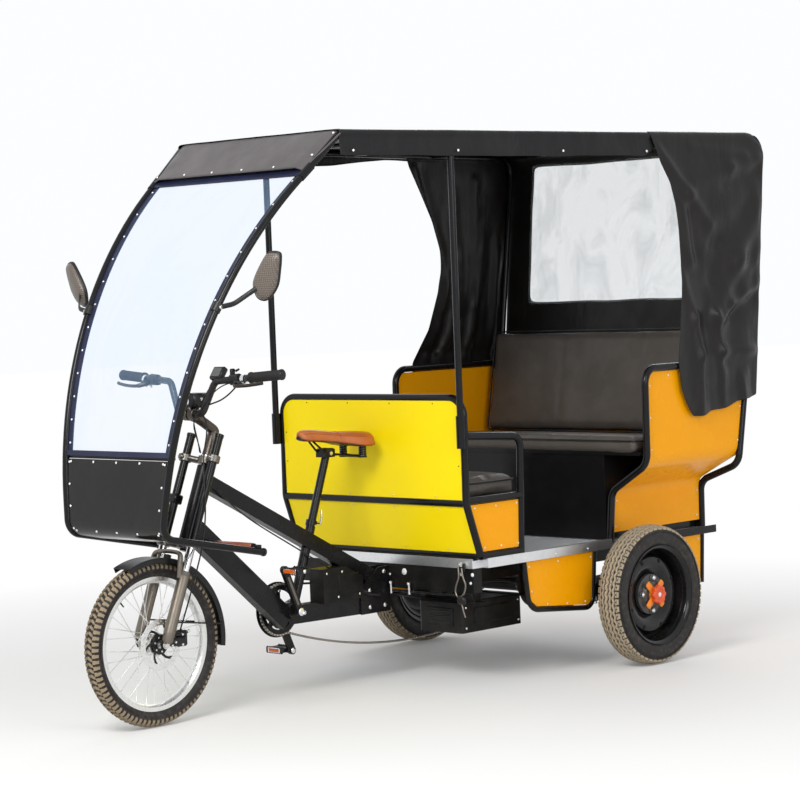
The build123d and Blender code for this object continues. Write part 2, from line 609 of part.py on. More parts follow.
# Chain loop round the ring and the rear sprocket, with a slack lower run
def chain_face(gap):
    big, small = RING_R + gap, SPROCKET_R + gap
    a, b = at(CRANK_X, 0, CRANK_Z), at(0, 0, REAR_R)
    run = (b - a).normalized()
    up = Vector(run.Z, 0, -run.X)
    share = (big - small) / (b - a).length
    n_top = run * share + up * math.sqrt(1 - share * share)
    slack = at(CHAIN_SLACK[0], 0, CHAIN_SLACK[1] - gap)

    def leave(centre, r, sign):
        to = slack - centre
        angle = math.atan2(to.Z, to.X) + sign * math.acos(r / to.length)
        return centre + Vector(math.cos(angle), 0, math.sin(angle)) * r

    low_a, low_b = leave(a, big, 1), leave(b, small, -1)
    return Face(Wire([Edge.make_line(a + n_top * big, b + n_top * small),
                      Edge.make_three_point_arc(b + n_top * small, b + Vector(-small, 0, 0), low_b),
                      Edge.make_line(low_b, slack), Edge.make_line(slack, low_a),
                      Edge.make_three_point_arc(low_a, a + Vector(big, 0, 0), a + n_top * big)]))


outer = extrude(chain_face(1 + CHAIN_T), amount=3.5, dir=(0, 1, 0), both=True)
inner = extrude(chain_face(1), amount=8, dir=(0, 1, 0), both=True)
save("chain", Location((0, CHAIN_Y, 0)) * (outer - inner))

# Tail lamps
lamp = fillet(block(FLOOR_REAR - 20, FLOOR_REAR - 2, 330, 400, 480, 560).edges().filter_by(Axis.X), 8)
lamp = lamp - rear
save("tail_lamps", lamp, flip(lamp))

# Fork, in the frame of the steering axis. Heights along it are negative downwards
LEG_R, SLIDER_R, CROWN_R, CROWN_H = 13.5, 19.0, 20.0, 22.0
SLIDER_TOP = 454.0 - 681.6 + LEG_LENGTH
SLIDER_END = LEG_LENGTH + 8.4
ARCH_Z = SLIDER_TOP - 58
CROWN_TOP_Z, CROWN_LOW_Z = HEAD_TOP + 18, HEAD_LOW - 20
ROTOR_R, ROTOR_Y = 80.0, 38.0


def crown(z):
    """Plate between the legs with a round clamp at each end."""
    ends = both(steer(FORK_AHEAD, LEG_Y, z) * Cylinder(CROWN_R, CROWN_H))
    return steer(FORK_AHEAD / 2, 0, z) * Box(FORK_AHEAD + 26, 2 * LEG_Y, CROWN_H) + ends


fork_leg = join([steer(FORK_AHEAD, LEG_Y, -(SLIDER_TOP + 20) / 2) * Cylinder(LEG_R, SLIDER_TOP + 20),
                 steer(FORK_AHEAD, LEG_Y, -(SLIDER_TOP + SLIDER_END) / 2)
                 * Cylinder(SLIDER_R, SLIDER_END - SLIDER_TOP),
                 steer(FORK_AHEAD, LEG_Y - 8, -LEG_LENGTH) * Box(40, 16, 44),
                 steer(FORK_AHEAD + 24, LEG_Y + 2, -(ARCH_Z + 32)) * Box(18, 16, 74)])
arch = steer(FORK_AHEAD + 28, 0, -ARCH_Z) * Box(18, 2 * LEG_Y + 20, 14)
steerer_len = CROWN_TOP_Z - CROWN_LOW_Z
steerer = steer(0, 0, (CROWN_TOP_Z + CROWN_LOW_Z) / 2) * Cylinder(STEERER_R, steerer_len)
pin = disc(FRONT_AXLE_R, -LEG_Y + 1, LEG_Y - 1, *AXLE_F)
caliper = Location(at(WHEELBASE - ROTOR_R + 2, 42, FRONT_R + 10.5)) * Box(44, 28, 52)
caliper = caliper - disc(ROTOR_R + 4, ROTOR_Y - 5, ROTOR_Y + 5, *AXLE_F)
holder = Location(at(WHEELBASE - 48, 62, FRONT_R + 10.5)) * Box(60, 14, 40)
fork = join([both(fork_leg), crown(CROWN_TOP_Z), crown(CROWN_LOW_Z), arch, steerer, pin, caliper, holder])
save("fork", fork)

# Stem, bar, grips and levers. Places are from the foot of the steering frame
STEM_R, NECK_D, BAR_D, GRIP_D, LEVER_D = 17.0, 31.0, 22.0, 34.0, 9.0
BAR_CLAMP = (86.0, 80.0)
BAR_LINE = ((86, 0, 78), (86, 56, 78), (72, 106, 181), (40, 382, 200))
GRIP_Y = 254.0

stem_low = CROWN_TOP_Z + CROWN_H / 2
stem = steer(0, 0, (stem_low + 26) / 2) * Cylinder(STEM_R, 26 - stem_low)
neck = rod(steer_at(0, 0, 8), near_stem(BAR_CLAMP[0], 0, BAR_CLAMP[1]), NECK_D)
bar_clamp = disc(20, -27, 27, STEER_X + BAR_CLAMP[0], STEER_Z + BAR_CLAMP[1])
half_bar = tube([near_stem(*p) for p in BAR_LINE], BAR_D, (22, 22))
(xa, ya, za), (xb, yb, zb) = BAR_LINE[2:]
part_way = (GRIP_Y - ya) / (yb - ya)
hand_grip = rod(near_stem(xa + (xb - xa) * part_way, GRIP_Y, za + (zb - za) * part_way),
                near_stem(xb, yb, zb), GRIP_D)
pod = Location(near_stem(61, 200, 187)) * Box(36, 44, 38)
lever = tube([near_stem(76, 205, 177), near_stem(108, 228, 167), near_stem(90, 345, 177)],
             LEVER_D, (14,))
throttle = Location(near_stem(62, 180, 210)) * Box(16, 20, 14)
display = Location(near_stem(61, 112, 204), (0, -35, 0)) * Box(20, 50, 45)
bars = join([stem, neck, bar_clamp, both(join([half_bar, hand_grip, pod, lever])), throttle,
             display]) - fork
save("handlebar", bars)

# Lamp behind the bar clamp
lamp_body = Location(near_stem(64, 0, 121)) * Box(70, 70, 48)
save("headlight", fillet(lamp_body.edges(), 8) - bars)

# Front mudguard with its stays
GUARD_R, GUARD_HALF, GUARD_FROM, GUARD_TO = 266.5, 36.0, 66.0, 188.0

skin = turned(((GUARD_R - 1.5, -GUARD_HALF), (GUARD_R + 1.5, -GUARD_HALF),
               (GUARD_R + 1.5, GUARD_HALF), (GUARD_R - 1.5, GUARD_HALF)), WHEELBASE, 0, FRONT_R)
lip = turned(((GUARD_R - 16, GUARD_HALF), (GUARD_R + 1.5, GUARD_HALF),
              (GUARD_R + 1.5, GUARD_HALF + 3), (GUARD_R - 16, GUARD_HALF + 3)), WHEELBASE, 0, FRONT_R)
fan = [AXLE_F]
for i in range(13):
    angle = math.radians(GUARD_FROM + (GUARD_TO - GUARD_FROM) * i / 12)
    fan.append((WHEELBASE + 330 * math.cos(angle), FRONT_R + 330 * math.sin(angle)))
guard = (skin + both(lip)) & side_plate(fan, -60, 60)
tab = steer(FORK_AHEAD + 28, 0, -ARCH_Z - 12.6) * Box(14, 20, 14)
stay_x, stay_z = WHEELBASE - 256, FRONT_R + 34
stay = rod(at(WHEELBASE - 33, 66, FRONT_R + 67), at(stay_x, GUARD_HALF + 4, stay_z), 5)
foot = disc(6, GUARD_HALF, GUARD_HALF + 7, stay_x, stay_z)
save("front_fender", join([guard, tab, both(stay + foot)]) - fork)

# Brake hose from the left lever past the stem and down the left leg
hose_line = [near_stem(72, 214, 173), near_stem(72, 160, 129), near_stem(82, 70, 105),
             near_stem(88, 44, 99), steer_at(60, 40, 20), steer_at(72, 66, -100),
             steer_at(14, 102, -300), steer_at(-4, 80, 141.6 - LEG_LENGTH),
             at(WHEELBASE - 76, 44, FRONT_R + 32)]
hose = tube(hose_line, 5, (40, 60, 25, 40, 60, 90, 40))
save("brake_cable", (hose - bars - fork).solids().sort_by(SortBy.VOLUME)[-1])

# Front wheel: tyre, rim, spokes, hub and brake disc
SPOKES, SPOKE_D = 32, 2.4
half_tyre = FRONT_TYRE_W / 2
half_profile = ((FRONT_RIM_R - 6, 15), (FRONT_RIM_R + 6, half_tyre - 5), (FRONT_R - 22, half_tyre),
                (FRONT_R - 8, half_tyre - 5), (FRONT_R - 1.5, half_tyre - 14))


def mirrored(half, crest):
    """Closed tyre section from its left half and the point in the middle."""
    return list(half) + [crest] + [(r, -y) for r, y in reversed(half)]


tyre = turned(mirrored(half_profile, (FRONT_R, 0)), WHEELBASE, 0, FRONT_R)
rim = turned(((FRONT_RIM_R - 22, -6), (FRONT_RIM_R - 22, 6), (FRONT_RIM_R - 14, 17),
              (FRONT_RIM_R + 1, 18), (FRONT_RIM_R + 1, 15.2), (FRONT_RIM_R - 6.4, 15.2),
              (FRONT_RIM_R - 6.4, -15.2), (FRONT_RIM_R + 1, -15.2), (FRONT_RIM_R + 1, -18),
              (FRONT_RIM_R - 14, -17)), WHEELBASE, 0, FRONT_R)
save("front_tyre", tyre - rim)


def on_wheel(r, y, angle):
    return at(WHEELBASE + r * math.cos(angle), y, FRONT_R + r * math.sin(angle))


hub = disc(20, -38, 38, *AXLE_F) + disc(31, -30, -26, *AXLE_F) + disc(34, 24, 28, *AXLE_F)
rotor = disc(ROTOR_R, ROTOR_Y - 1, ROTOR_Y + 1, *AXLE_F) - disc(ROTOR_R - 18, 30, 45, *AXLE_F)
for i in range(6):
    angle = math.radians(60 * i + 20)
    rotor = rotor + rod(on_wheel(18, ROTOR_Y, angle), on_wheel(ROTOR_R - 14, ROTOR_Y, angle + 0.5), 2)
spokes = []
for i in range(SPOKES):
    angle = math.radians(360 / SPOKES * i)
    side = 1 if i % 2 else -1
    swing = math.radians(38) * (1 if (i // 2) % 2 else -1)
    flange_r, flange_y = (31, 26) if side > 0 else (28, 28)
    spokes.append(bar(on_wheel(flange_r, side * flange_y, angle + swing),
                      on_wheel(FRONT_RIM_R - 20, side * 3, angle), SPOKE_D, SPOKE_D))
wheel = join([hub, rim, rotor] + spokes) - disc(FRONT_AXLE_R + BORE_FIT, -60, 60, *AXLE_F)
save("front_rim", wheel)

# Rear wheels: pressed rim, hub plate with studs, and a three-armed hub lock
half_tyre = REAR_TYRE_W / 2
half_profile = ((REAR_RIM_R - 8, 34), (REAR_RIM_R + 8, half_tyre - 4), (REAR_RIM_R + 38, half_tyre),
                (REAR_R - 12, half_tyre - 6), (REAR_R - 2, half_tyre - 20))
HUB_R, STUD_R, LOCK_R = 80.0, 30.0, 55.0

tyre = turned(mirrored(half_profile, (REAR_R, 0)), 0, REAR_TRACK_Y, REAR_R)
lip_r = REAR_RIM_R - 2
rim = turned(((REAR_STUB_R, -20), (66, -20), (96, 0), (120, 2), (140, -12), (lip_r - 12, -36),
              (lip_r, -42), (lip_r, -38), (lip_r - 7, -34.4), (lip_r - 7, 34.4), (lip_r, 38),
              (lip_r, 42), (lip_r - 12, 38), (146, 8), (122, 8), (96, 7), (60, -12),
              (REAR_STUB_R, -12)), 0, REAR_TRACK_Y, REAR_R)
hub = disc(50, REAR_TRACK_Y - 62, REAR_TRACK_Y - 18, 0, REAR_R)
hub = hub + disc(HUB_R, REAR_TRACK_Y - 14, REAR_TRACK_Y + 4, 0, REAR_R)
hub = hub + disc(42, REAR_TRACK_Y, REAR_TRACK_Y + 14, 0, REAR_R)
for i in range(4):
    angle = math.radians(90 * i + 25)
    hub = hub + disc(8, REAR_TRACK_Y - 14, REAR_TRACK_Y + 26, STUD_R * math.cos(angle),
                     REAR_R + STUD_R * math.sin(angle))
lock_y = REAR_TRACK_Y + 31
lock = disc(18, REAR_TRACK_Y + 10, lock_y + 8, 0, REAR_R)
for i in range(3):
    angle = math.radians(120 * i + 70)
    tip = (LOCK_R - 11) * math.cos(angle), REAR_R + (LOCK_R - 11) * math.sin(angle)
    lock = lock + bar(at(0, lock_y, REAR_R), at(tip[0], lock_y, tip[1]), 13, 20)
    lock = lock + disc(11, lock_y - 6.5, lock_y + 6.5, *tip)
wheel = join([rim, hub, lock])
wheel = wheel - disc(REAR_STUB_R + BORE_FIT, REAR_TRACK_Y - 80, REAR_TRACK_Y - 2.9, 0, REAR_R)
tyre = tyre - wheel
save("rear_tyre_left", tyre)
save("rear_rim_left", wheel)
save("rear_tyre_right", flip(tyre))
save("rear_rim_right", flip(wheel))

# Cranks with the chain ring and its guard ring, and the pedals
ARM_T, PEDAL_Y, PEDAL_W = 14.0, 111.0, 84.0
GUARD_RING_R, GUARD_RING_Y = 91.5, CHAIN_Y - 10.5
SPIDER_Y = CHAIN_Y - 7
reach_x = CRANK_ARM * math.cos(math.radians(CRANK_ANGLE))
reach_z = CRANK_ARM * math.sin(math.radians(CRANK_ANGLE))
arm_in, arm_out = CRANK_Y - ARM_T / 2, CRANK_Y + ARM_T / 2
axle_end = PEDAL_Y + PEDAL_W / 2 + 1


def crank_arm(x, z):
    """Left arm from the spindle to a pedal's axle."""
    return join([bar(at(CRANK_X, CRANK_Y, CRANK_Z), at(x, CRANK_Y, z), ARM_T, 24),
                 disc(15, arm_in - 1, arm_out + 1, CRANK_X, CRANK_Z),
                 disc(13, arm_in, arm_out, x, z),
                 disc(PEDAL_AXLE_R, CRANK_Y, axle_end, x, z)])


ring = disc(RING_R, CHAIN_Y - 1.5, CHAIN_Y + 1.5, CRANK_X, CRANK_Z)
ring = ring - disc(RING_R - 16, CHAIN_Y - 5, CHAIN_Y + 5, CRANK_X, CRANK_Z)
outer_ring = disc(GUARD_RING_R, GUARD_RING_Y - 1.5, GUARD_RING_Y + 1.5, CRANK_X, CRANK_Z)
outer_ring = outer_ring - disc(RING_R - 8, GUARD_RING_Y - 5, GUARD_RING_Y + 5, CRANK_X, CRANK_Z)
spider = [disc(26, SPIDER_Y - 7, SPIDER_Y + 5, CRANK_X, CRANK_Z)]
for i in range(5):
    angle = math.radians(72 * i + 18)
    spider.append(bar(at(CRANK_X, SPIDER_Y, CRANK_Z),
                      at(CRANK_X + (RING_R - 5) * math.cos(angle), SPIDER_Y,
                         CRANK_Z + (RING_R - 5) * math.sin(angle)), 11, 16))
arms = crank_arm(CRANK_X + reach_x, CRANK_Z + reach_z)
arms = arms + flip(crank_arm(CRANK_X - reach_x, CRANK_Z - reach_z))
spindle = disc(SPINDLE_R, -arm_out, arm_out, CRANK_X, CRANK_Z)
save("crankset", join([spindle, arms, ring, outer_ring] + spider))


def pedal(x, z):
    """Left pedal with two slots through it."""
    body = Location(at(x, PEDAL_Y, z)) * Box(62, PEDAL_W, 24)
    for shift in (-20, 20):
        body = body - Location(at(x + shift, PEDAL_Y, z)) * Box(18, PEDAL_W - 20, 40)
    return body - disc(PEDAL_AXLE_R + BORE_FIT, CRANK_Y, axle_end + 0.4, x, z)


save("pedal_left", pedal(CRANK_X + reach_x, CRANK_Z + reach_z))
save("pedal_right", flip(pedal(CRANK_X - reach_x, CRANK_Z - reach_z)))
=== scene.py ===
import random
from itertools import product
from math import acos, atan2, cos, degrees, exp, hypot, pi, radians, sin, sqrt, tan

import bmesh
import bpy
from mathutils import Matrix, Vector, noise


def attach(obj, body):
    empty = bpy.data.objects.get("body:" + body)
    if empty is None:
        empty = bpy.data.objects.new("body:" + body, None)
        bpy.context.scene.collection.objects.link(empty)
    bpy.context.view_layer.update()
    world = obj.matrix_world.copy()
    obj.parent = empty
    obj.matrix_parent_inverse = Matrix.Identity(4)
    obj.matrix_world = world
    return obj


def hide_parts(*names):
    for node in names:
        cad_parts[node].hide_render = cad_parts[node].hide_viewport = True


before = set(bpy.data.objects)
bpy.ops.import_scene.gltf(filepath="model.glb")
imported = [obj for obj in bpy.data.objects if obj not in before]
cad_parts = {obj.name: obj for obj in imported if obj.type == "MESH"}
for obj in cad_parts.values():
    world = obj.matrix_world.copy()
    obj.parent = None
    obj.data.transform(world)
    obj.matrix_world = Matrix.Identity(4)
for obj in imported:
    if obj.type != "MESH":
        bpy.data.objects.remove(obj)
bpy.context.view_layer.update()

random.seed(7)

# Places are written in millimetres from the rear axle, as in the CAD source
X0 = -681.0
STEER_X, STEER_Z, TILT = 1483.93, 878.72, radians(21.9)
WHEEL_F = (1766.0, 0.0, 257.5)
REAR_Z, TRACK = 240.0, 551.0


def P(x, y, z):
    """Place from the rear axle in millimetres, as a point of the frame in metres."""
    return vec((X0 + x) / 1000, y / 1000, z / 1000)


def vec(x, y, z):
    return Vector((x, y, z))


FORE, LEFT, UP = vec(1, 0, 0), vec(0, 1, 0), vec(0, 0, 1)
STEER_UP = vec(-sin(TILT), 0, cos(TILT))
STEER_FORE = vec(cos(TILT), 0, sin(TILT))
SIDES = (1, -1)


def mm(x, y, z):
    return vec(x, y, z) / 1000


def circle(step, count):
    """Angle of one of so many equal steps round a circle."""
    return 2 * pi * step / count


def turns(count):
    return [circle(k, count) for k in range(count)]


def square_to(axis, start=None):
    """Direction square to an axis, towards start or else upwards."""
    start = start or (UP if abs(axis.z) < 0.9 else FORE)
    return (start - axis * start.dot(axis)).normalized()


def steer(x, y, z):
    """Place in the frame of the steering axis, in millimetres."""
    return P(STEER_X, 0, STEER_Z) + (STEER_FORE * x + vec(0, y, 0) + STEER_UP * z) / 1000


def near(x, y, z):
    """Place near the top of the steering axis, upright, in millimetres."""
    return P(STEER_X + x, y, STEER_Z + z)


# Camera: the photograph's viewing angle
cam_data = bpy.data.cameras.new("camera")
cam = bpy.data.objects.new("camera", cam_data)
bpy.context.collection.objects.link(cam)
cam_data.lens, cam_data.sensor_width, cam_data.sensor_fit = 112.597, 36.0, "HORIZONTAL"
yaw, pitch, roll = radians(45.387), 0.04678, -0.03903
CAMERA_AT = (6.0137, 5.98115, 1.34364)
look = vec(-sin(yaw) * cos(pitch), -cos(yaw) * cos(pitch), -sin(pitch))
flat = vec(-cos(yaw), sin(yaw), 0)
lift = flat.cross(look)
right = flat * cos(roll) + lift * sin(roll)
up = -flat * sin(roll) + lift * cos(roll)
turn = Matrix((right, up, -look)).transposed().to_4x4()
cam.matrix_world = Matrix.Translation(CAMERA_AT) @ turn
cam_data.clip_end = 100
bpy.context.scene.camera = cam


# Cords: one open spline each, whose thickness is its points' radius
CORDS = []


def cord(name, body, line, thick, order=4, fine=(14, 2), replaced=()):
    data = bpy.data.curves.new(name, "CURVE")
    data.dimensions, data.bevel_depth, data.use_fill_caps = "3D", 1.0, True
    data.resolution_u, data.bevel_resolution = fine
    spline = data.splines.new("NURBS")
    spline.points.add(len(line) - 1)
    for point, place in zip(spline.points, line):
        point.co, point.radius = (*place, 1), thick / 2000
    spline.order_u, spline.use_endpoint_u = order, True
    obj = bpy.data.objects.new(name, data)
    finish_piece(obj, body, replaced)
    CORDS.append(data)


def finish_piece(obj, body, replaced=()):
    bpy.context.collection.objects.link(obj)
    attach(obj, body)
    if replaced:
        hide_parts(*replaced)
    return obj


# The hose runs from the left lever past the stem and down the left leg to the caliper
cord("brake_hose", "steering", (P(1555.93, 214, 1051.72), P(1555.93, 160, 1007.72),
                                P(1565.93, 70, 983.72), P(1571.93, 44, 977.72), steer(60, 40, 20),
                                steer(72, 66, -100), steer(14, 102, -300), steer(-4, 80, -540),
                                P(1690, 44, 289.5)), 5, 3, (16, 3), ("brake_cable",))
# Wires from the display and the pod to the head tube
cord("display_wire", "steering", (near(66, 104, 186), near(80, 92, 168), near(88, 70, 128),
                                  near(92, 44, 104), near(104, 20, 62), steer(64, 14, -30),
                                  steer(44, 10, -64)), 3.8)
cord("throttle_wire", "steering", (near(64, 184, 178), near(76, 150, 172), near(84, 108, 150),
                                   near(98, 62, 92), near(112, 24, 52), steer(66, 22, -40),
                                   steer(44, 16, -66)), 3.8)
# Wires below the floor and along the main beam
cord("motor_wire", "vehicle", (P(744, 60, 296), P(700, 74, 286), P(640, 90, 270), P(520, 70, 276),
                               P(330, 66, 300), P(180, 80, 280), P(120, 100, 252), P(84, 100, 262)), 7)
cord("lamp_wire", "vehicle", (P(990, 26, 396), P(1040, 30, 420), P(1150, 28, 486), P(1270, 26, 552),
                              P(1390, 26, 622), P(1450, 28, 668), P(1500, 30, 716)), 5)


# Materials
def add_node(tree, kind, inputs=(), **props):
    """New node; each input is a plain value or another node's output."""
    made = tree.nodes.new(kind)
    for key, value in props.items():
        setattr(made, key, value)
    for key, value in dict(inputs).items():
        if isinstance(value, bpy.types.NodeSocket):
            tree.links.new(value, made.inputs[key])
        else:
            made.inputs[key].default_value = value
    return made


def seen_rays(tree):
    """1 for rays from the camera, off glossy surfaces or through clear ones, and 0 for the rest."""
    rays = add_node(tree, "ShaderNodeLightPath").outputs
    share = rays["Is Camera Ray"]
    for other in ("Is Glossy Ray", "Is Transmission Ray"):
        share = add_node(tree, "ShaderNodeMath", {0: share, 1: rays[other]},
                         operation="MAXIMUM").outputs[0]
    return share


class Nodes:
    """Short names for building one node material."""

    def __init__(self, name, color=(0.5, 0.5, 0.5), rough=0.5, metal=0.0, **sockets):
        self.mat = bpy.data.materials.new(name)
        self.mat.use_nodes = True
        self.tree = self.mat.node_tree
        self.shader = self.tree.nodes["Principled BSDF"]
        self.set("Base Color", (*color, 1))
        self.set("Roughness", rough)
        self.set("Metallic", metal)
        for key, value in sockets.items():
            self.set(key.replace("_", " "), value)
        self.where = self.node("ShaderNodeTexCoord").outputs["Object"]

    def set(self, socket, value):
        if isinstance(value, bpy.types.NodeSocket):
            self.tree.links.new(value, self.shader.inputs[socket])
        else:
            self.shader.inputs[socket].default_value = value

    def node(self, kind, inputs=(), **props):
        return add_node(self.tree, kind, inputs, **props)

    def stretch(self, scale, turn=(0, 0, 0)):
        return self.node("ShaderNodeMapping", {"Vector": self.where, "Scale": scale,
                                               "Rotation": turn}).outputs[0]

    def noise(self, scale, detail=3.0, rough=0.5, where=None, warp=0.0):
        return self.node("ShaderNodeTexNoise", {"Vector": where or self.where, "Scale": scale,
                                                "Detail": detail, "Roughness": rough,
                                                "Distortion": warp}).outputs["Fac"]

    def cells(self, scale, where=None, feature="F1"):
        return self.node("ShaderNodeTexVoronoi", {"Vector": where or self.where, "Scale": scale},
                         feature=feature).outputs["Distance"]

    def wave(self, scale, direction="X", warp=0.0):
        return self.node("ShaderNodeTexWave", {"Vector": self.where, "Scale": scale,
                                               "Distortion": warp, "Detail": 1.0},
                         bands_direction=direction).outputs["Fac"]

    def ramp(self, value, low, high, a=0.0, b=1.0):
        return self.node("ShaderNodeMapRange", {"Value": value, "From Min": low, "From Max": high,
                                                "To Min": a, "To Max": b}).outputs["Result"]

    def math(self, op, a, b=0.0):
        return self.node("ShaderNodeMath", {0: a, 1: b}, operation=op).outputs[0]

    def mix(self, share, a, b):
        return self.node("ShaderNodeMix", {0: share, 6: (*a, 1), 7: (*b, 1)},
                         data_type="RGBA").outputs[2]

    def bump(self, height, strength=0.3, depth=0.001, under=None):
        inputs = {"Height": height, "Strength": strength, "Distance": depth}
        if under is not None:
            inputs["Normal"] = under
        normal = self.node("ShaderNodeBump", inputs).outputs[0]
        self.set("Normal", normal)
        return normal

    def edges(self, radius=0.001):
        """Softened edges for the CAD pieces' sharp corners."""
        return self.node("ShaderNodeBevel", {"Radius": radius}, samples=3).outputs[0]

    def axis(self, which):
        return self.node("ShaderNodeSeparateXYZ", {0: self.where}).outputs[which]


def painted(name, color, rough=0.28, dust=(0.30, 0.25, 0.19), dusty=0.10, peel=0.06, **more):
    """Sprayed or powder-coated metal: faint orange peel, cloudy gloss and settled dust low down."""
    n = Nodes(name, color, rough, 0.0, **more)
    patch = n.ramp(n.noise(9.0, 4.0, 0.6), 0.42, 0.72)
    low = n.ramp(n.axis("Z"), 0.75, 0.05)
    share = n.math("MULTIPLY", n.math("MULTIPLY", patch, low), dusty * 2.2)
    speck = n.ramp(n.noise(140.0, 2.0), 0.62, 0.75, 0.0, dusty)
    n.set("Base Color", n.mix(n.math("ADD", share, speck), color, dust))
    n.set("Roughness", n.ramp(n.noise(26.0, 4.0), 0.3, 0.7, rough - 0.05, rough + 0.10))
    n.bump(n.noise(420.0, 2.0), peel, 0.0006, n.edges(0.0012))
    return n.mat


def bare_metal(name, color, rough=0.3, brushed=(1, 1, 1), soft=0.0008, dirt=0.25):
    n = Nodes(name, color, rough, 1.0)
    streak = n.noise(220.0, 3.0, 0.6, n.stretch(brushed))
    n.set("Roughness", n.ramp(streak, 0.3, 0.7, rough - 0.07, rough + 0.10))
    grime = n.ramp(n.noise(45.0, 4.0, 0.65), 0.52, 0.78, 0.0, dirt)
    n.set("Base Color", n.mix(grime, color, tuple(c * 0.35 for c in color)))
    n.bump(streak, 0.08, 0.0004, n.edges(soft) if soft else None)
    return n.mat


def moulded(name, color, rough=0.45, grain=900.0, strength=0.15, dusty=0.03):
    """Moulded plastic or rubber with a fine pebble grain."""
    n = Nodes(name, color, rough, 0.0, Specular_IOR_Level=0.3)
    n.set("Base Color", n.mix(n.ramp(n.noise(60.0, 4.0), 0.5, 0.8, 0.0, dusty), color,
                              (0.25, 0.22, 0.18)))
    n.set("Roughness", n.ramp(n.noise(18.0), 0.3, 0.7, rough - 0.06, rough + 0.08))
    n.bump(n.cells(grain), strength, 0.0004, n.edges(0.001))
    return n.mat


def cloth(name, color, rough=0.62, wrinkle=0.5, pale=(0.02, 0.02, 0.021)):
    """Coated canvas: crossed threads, broad creases and painted sheen that pales the crease ridges."""
    n = Nodes(name, color, rough, 0.0, Specular_IOR_Level=0.26)
    creases = n.noise(7.0, 5.0, 0.55, n.stretch((1.0, 1.0, 0.45)), 0.8)
    # Painted sheen: the pale colour goes on the high side of the creases, as light on the fold ridges.
    n.set("Base Color", n.mix(n.ramp(creases, 0.50, 0.80, 0.0, 0.6), color, pale))
    n.set("Roughness", n.ramp(n.noise(14.0, 3.0), 0.3, 0.7, rough - 0.08, rough + 0.08))
    across = n.math("MULTIPLY", n.wave(620.0, "Y"), n.wave(620.0, "Z"))
    threads = n.math("MULTIPLY", n.wave(620.0, "X"), across)
    broad = n.bump(creases, wrinkle, 0.02)
    n.bump(threads, 0.12, 0.0004, broad)
    return n.mat


def vinyl(name, color, rough=0.38, grain=260.0, depth=0.25, tone=None):
    """Leather or leatherette: pebbled cells, soft creases, rubbed patches."""
    n = Nodes(name, color, rough, 0.0, Specular_IOR_Level=0.3)
    rub = n.ramp(n.noise(6.0, 4.0, 0.6), 0.42, 0.72)
    n.set("Base Color", n.mix(rub, color, tone or tuple(min(1, c * 1.7 + 0.01) for c in color)))
    n.set("Roughness", n.ramp(n.noise(11.0, 4.0), 0.3, 0.7, rough - 0.06, rough + 0.12))
    soft = n.bump(n.noise(16.0, 4.0, 0.55, None, 0.6), 0.15, 0.006)
    n.bump(n.cells(grain, None, "SMOOTH_F1"), depth, 0.0006, soft)
    return n.mat


def film(name, tint, alpha, haze, scale, rough=0.06, lines=0.5):
    """Clear sheet: tinted, faintly hazy, with creases that catch the light."""
    n = Nodes(name, tint, rough, 0.0, IOR=1.45, Specular_IOR_Level=0.6)
    where = n.stretch((1.0, 1.0, 0.55), (0.5, 0.2, 0.3))
    cloud = n.ramp(n.noise(scale, 5.0, 0.6, where, 1.2), 0.45, 0.75, 0.0, haze)
    crack = n.ramp(n.cells(scale * 2.2, where, "DISTANCE_TO_EDGE"), 0.025, 0.0, 0.0, lines)
    fade = n.ramp(n.noise(scale * 0.6, 2.0), 0.5, 0.62)
    marks = n.math("ADD", cloud, n.math("MULTIPLY", crack, fade))
    n.set("Alpha", n.math("MINIMUM", n.math("ADD", marks, alpha), 0.9))
    n.bump(n.noise(scale, 4.0, 0.5, where, 1.0), 0.25, 0.006)
    return n.mat


M = {}
M["black"] = painted("black_paint", (0.006, 0.006, 0.007), 0.17, dusty=0.012, Specular_IOR_Level=0.22)
M["frame"] = painted("frame_paint", (0.006, 0.006, 0.007), 0.20, dusty=0.02, Specular_IOR_Level=0.22)
M["under"] = painted("underbody_paint", (0.006, 0.006, 0.006), 0.34, dusty=0.035,
                     Specular_IOR_Level=0.18)
# Painted sunlight: the front panels take the amber side paint lightened to lemon yellow, as it looks in
# direct sun.
M["sunlit_amber"] = painted("yellow_sheet", (0.985, 0.76, 0.003), 0.32, dust=(0.88, 0.64, 0.03), dusty=0.03,
                      Specular_IOR_Level=0.2)
M["amber"] = painted("amber_sheet", (0.95, 0.385, 0.001), 0.28, dust=(0.80, 0.34, 0.02), dusty=0.03,
                     Specular_IOR_Level=0.18)
M["alu"] = bare_metal("aluminium_trim", (0.74, 0.75, 0.76), 0.34, (1, 30, 30))
M["steel"] = bare_metal("bright_steel", (0.68, 0.68, 0.67), 0.22)
M["chrome"] = bare_metal("chrome", (0.80, 0.80, 0.80), 0.10, dirt=0.08)
M["chain"] = bare_metal("chain_steel", (0.24, 0.21, 0.18), 0.35, dirt=0.5)
M["bronze"] = bare_metal("fork_lower", (0.20, 0.175, 0.145), 0.36)
M["spoke"] = bare_metal("spoke_steel", (0.72, 0.73, 0.74), 0.20, soft=0, dirt=0.1)
M["hub_grey"] = painted("hub_plate", (0.055, 0.054, 0.054), 0.30, dusty=0.05)
M["orange"] = painted("hub_lock_orange", (0.95, 0.27, 0.012), 0.34, dust=(0.5, 0.15, 0.04), dusty=0.1)
M["copper"] = painted("amber_sleeve", (0.30, 0.075, 0.035), 0.22)
M["plastic"] = moulded("black_plastic", (0.010, 0.010, 0.011), 0.36)
M["bar_black"] = moulded("anodised_black", (0.020, 0.018, 0.017), 0.32, 1500, 0.05)
M["rubber"] = moulded("grip_rubber", (0.016, 0.015, 0.015), 0.58, 700, 0.3)
M["roof"] = cloth("roof_cloth", (0.006, 0.006, 0.007), 0.46, pale=(0.018, 0.017, 0.018))
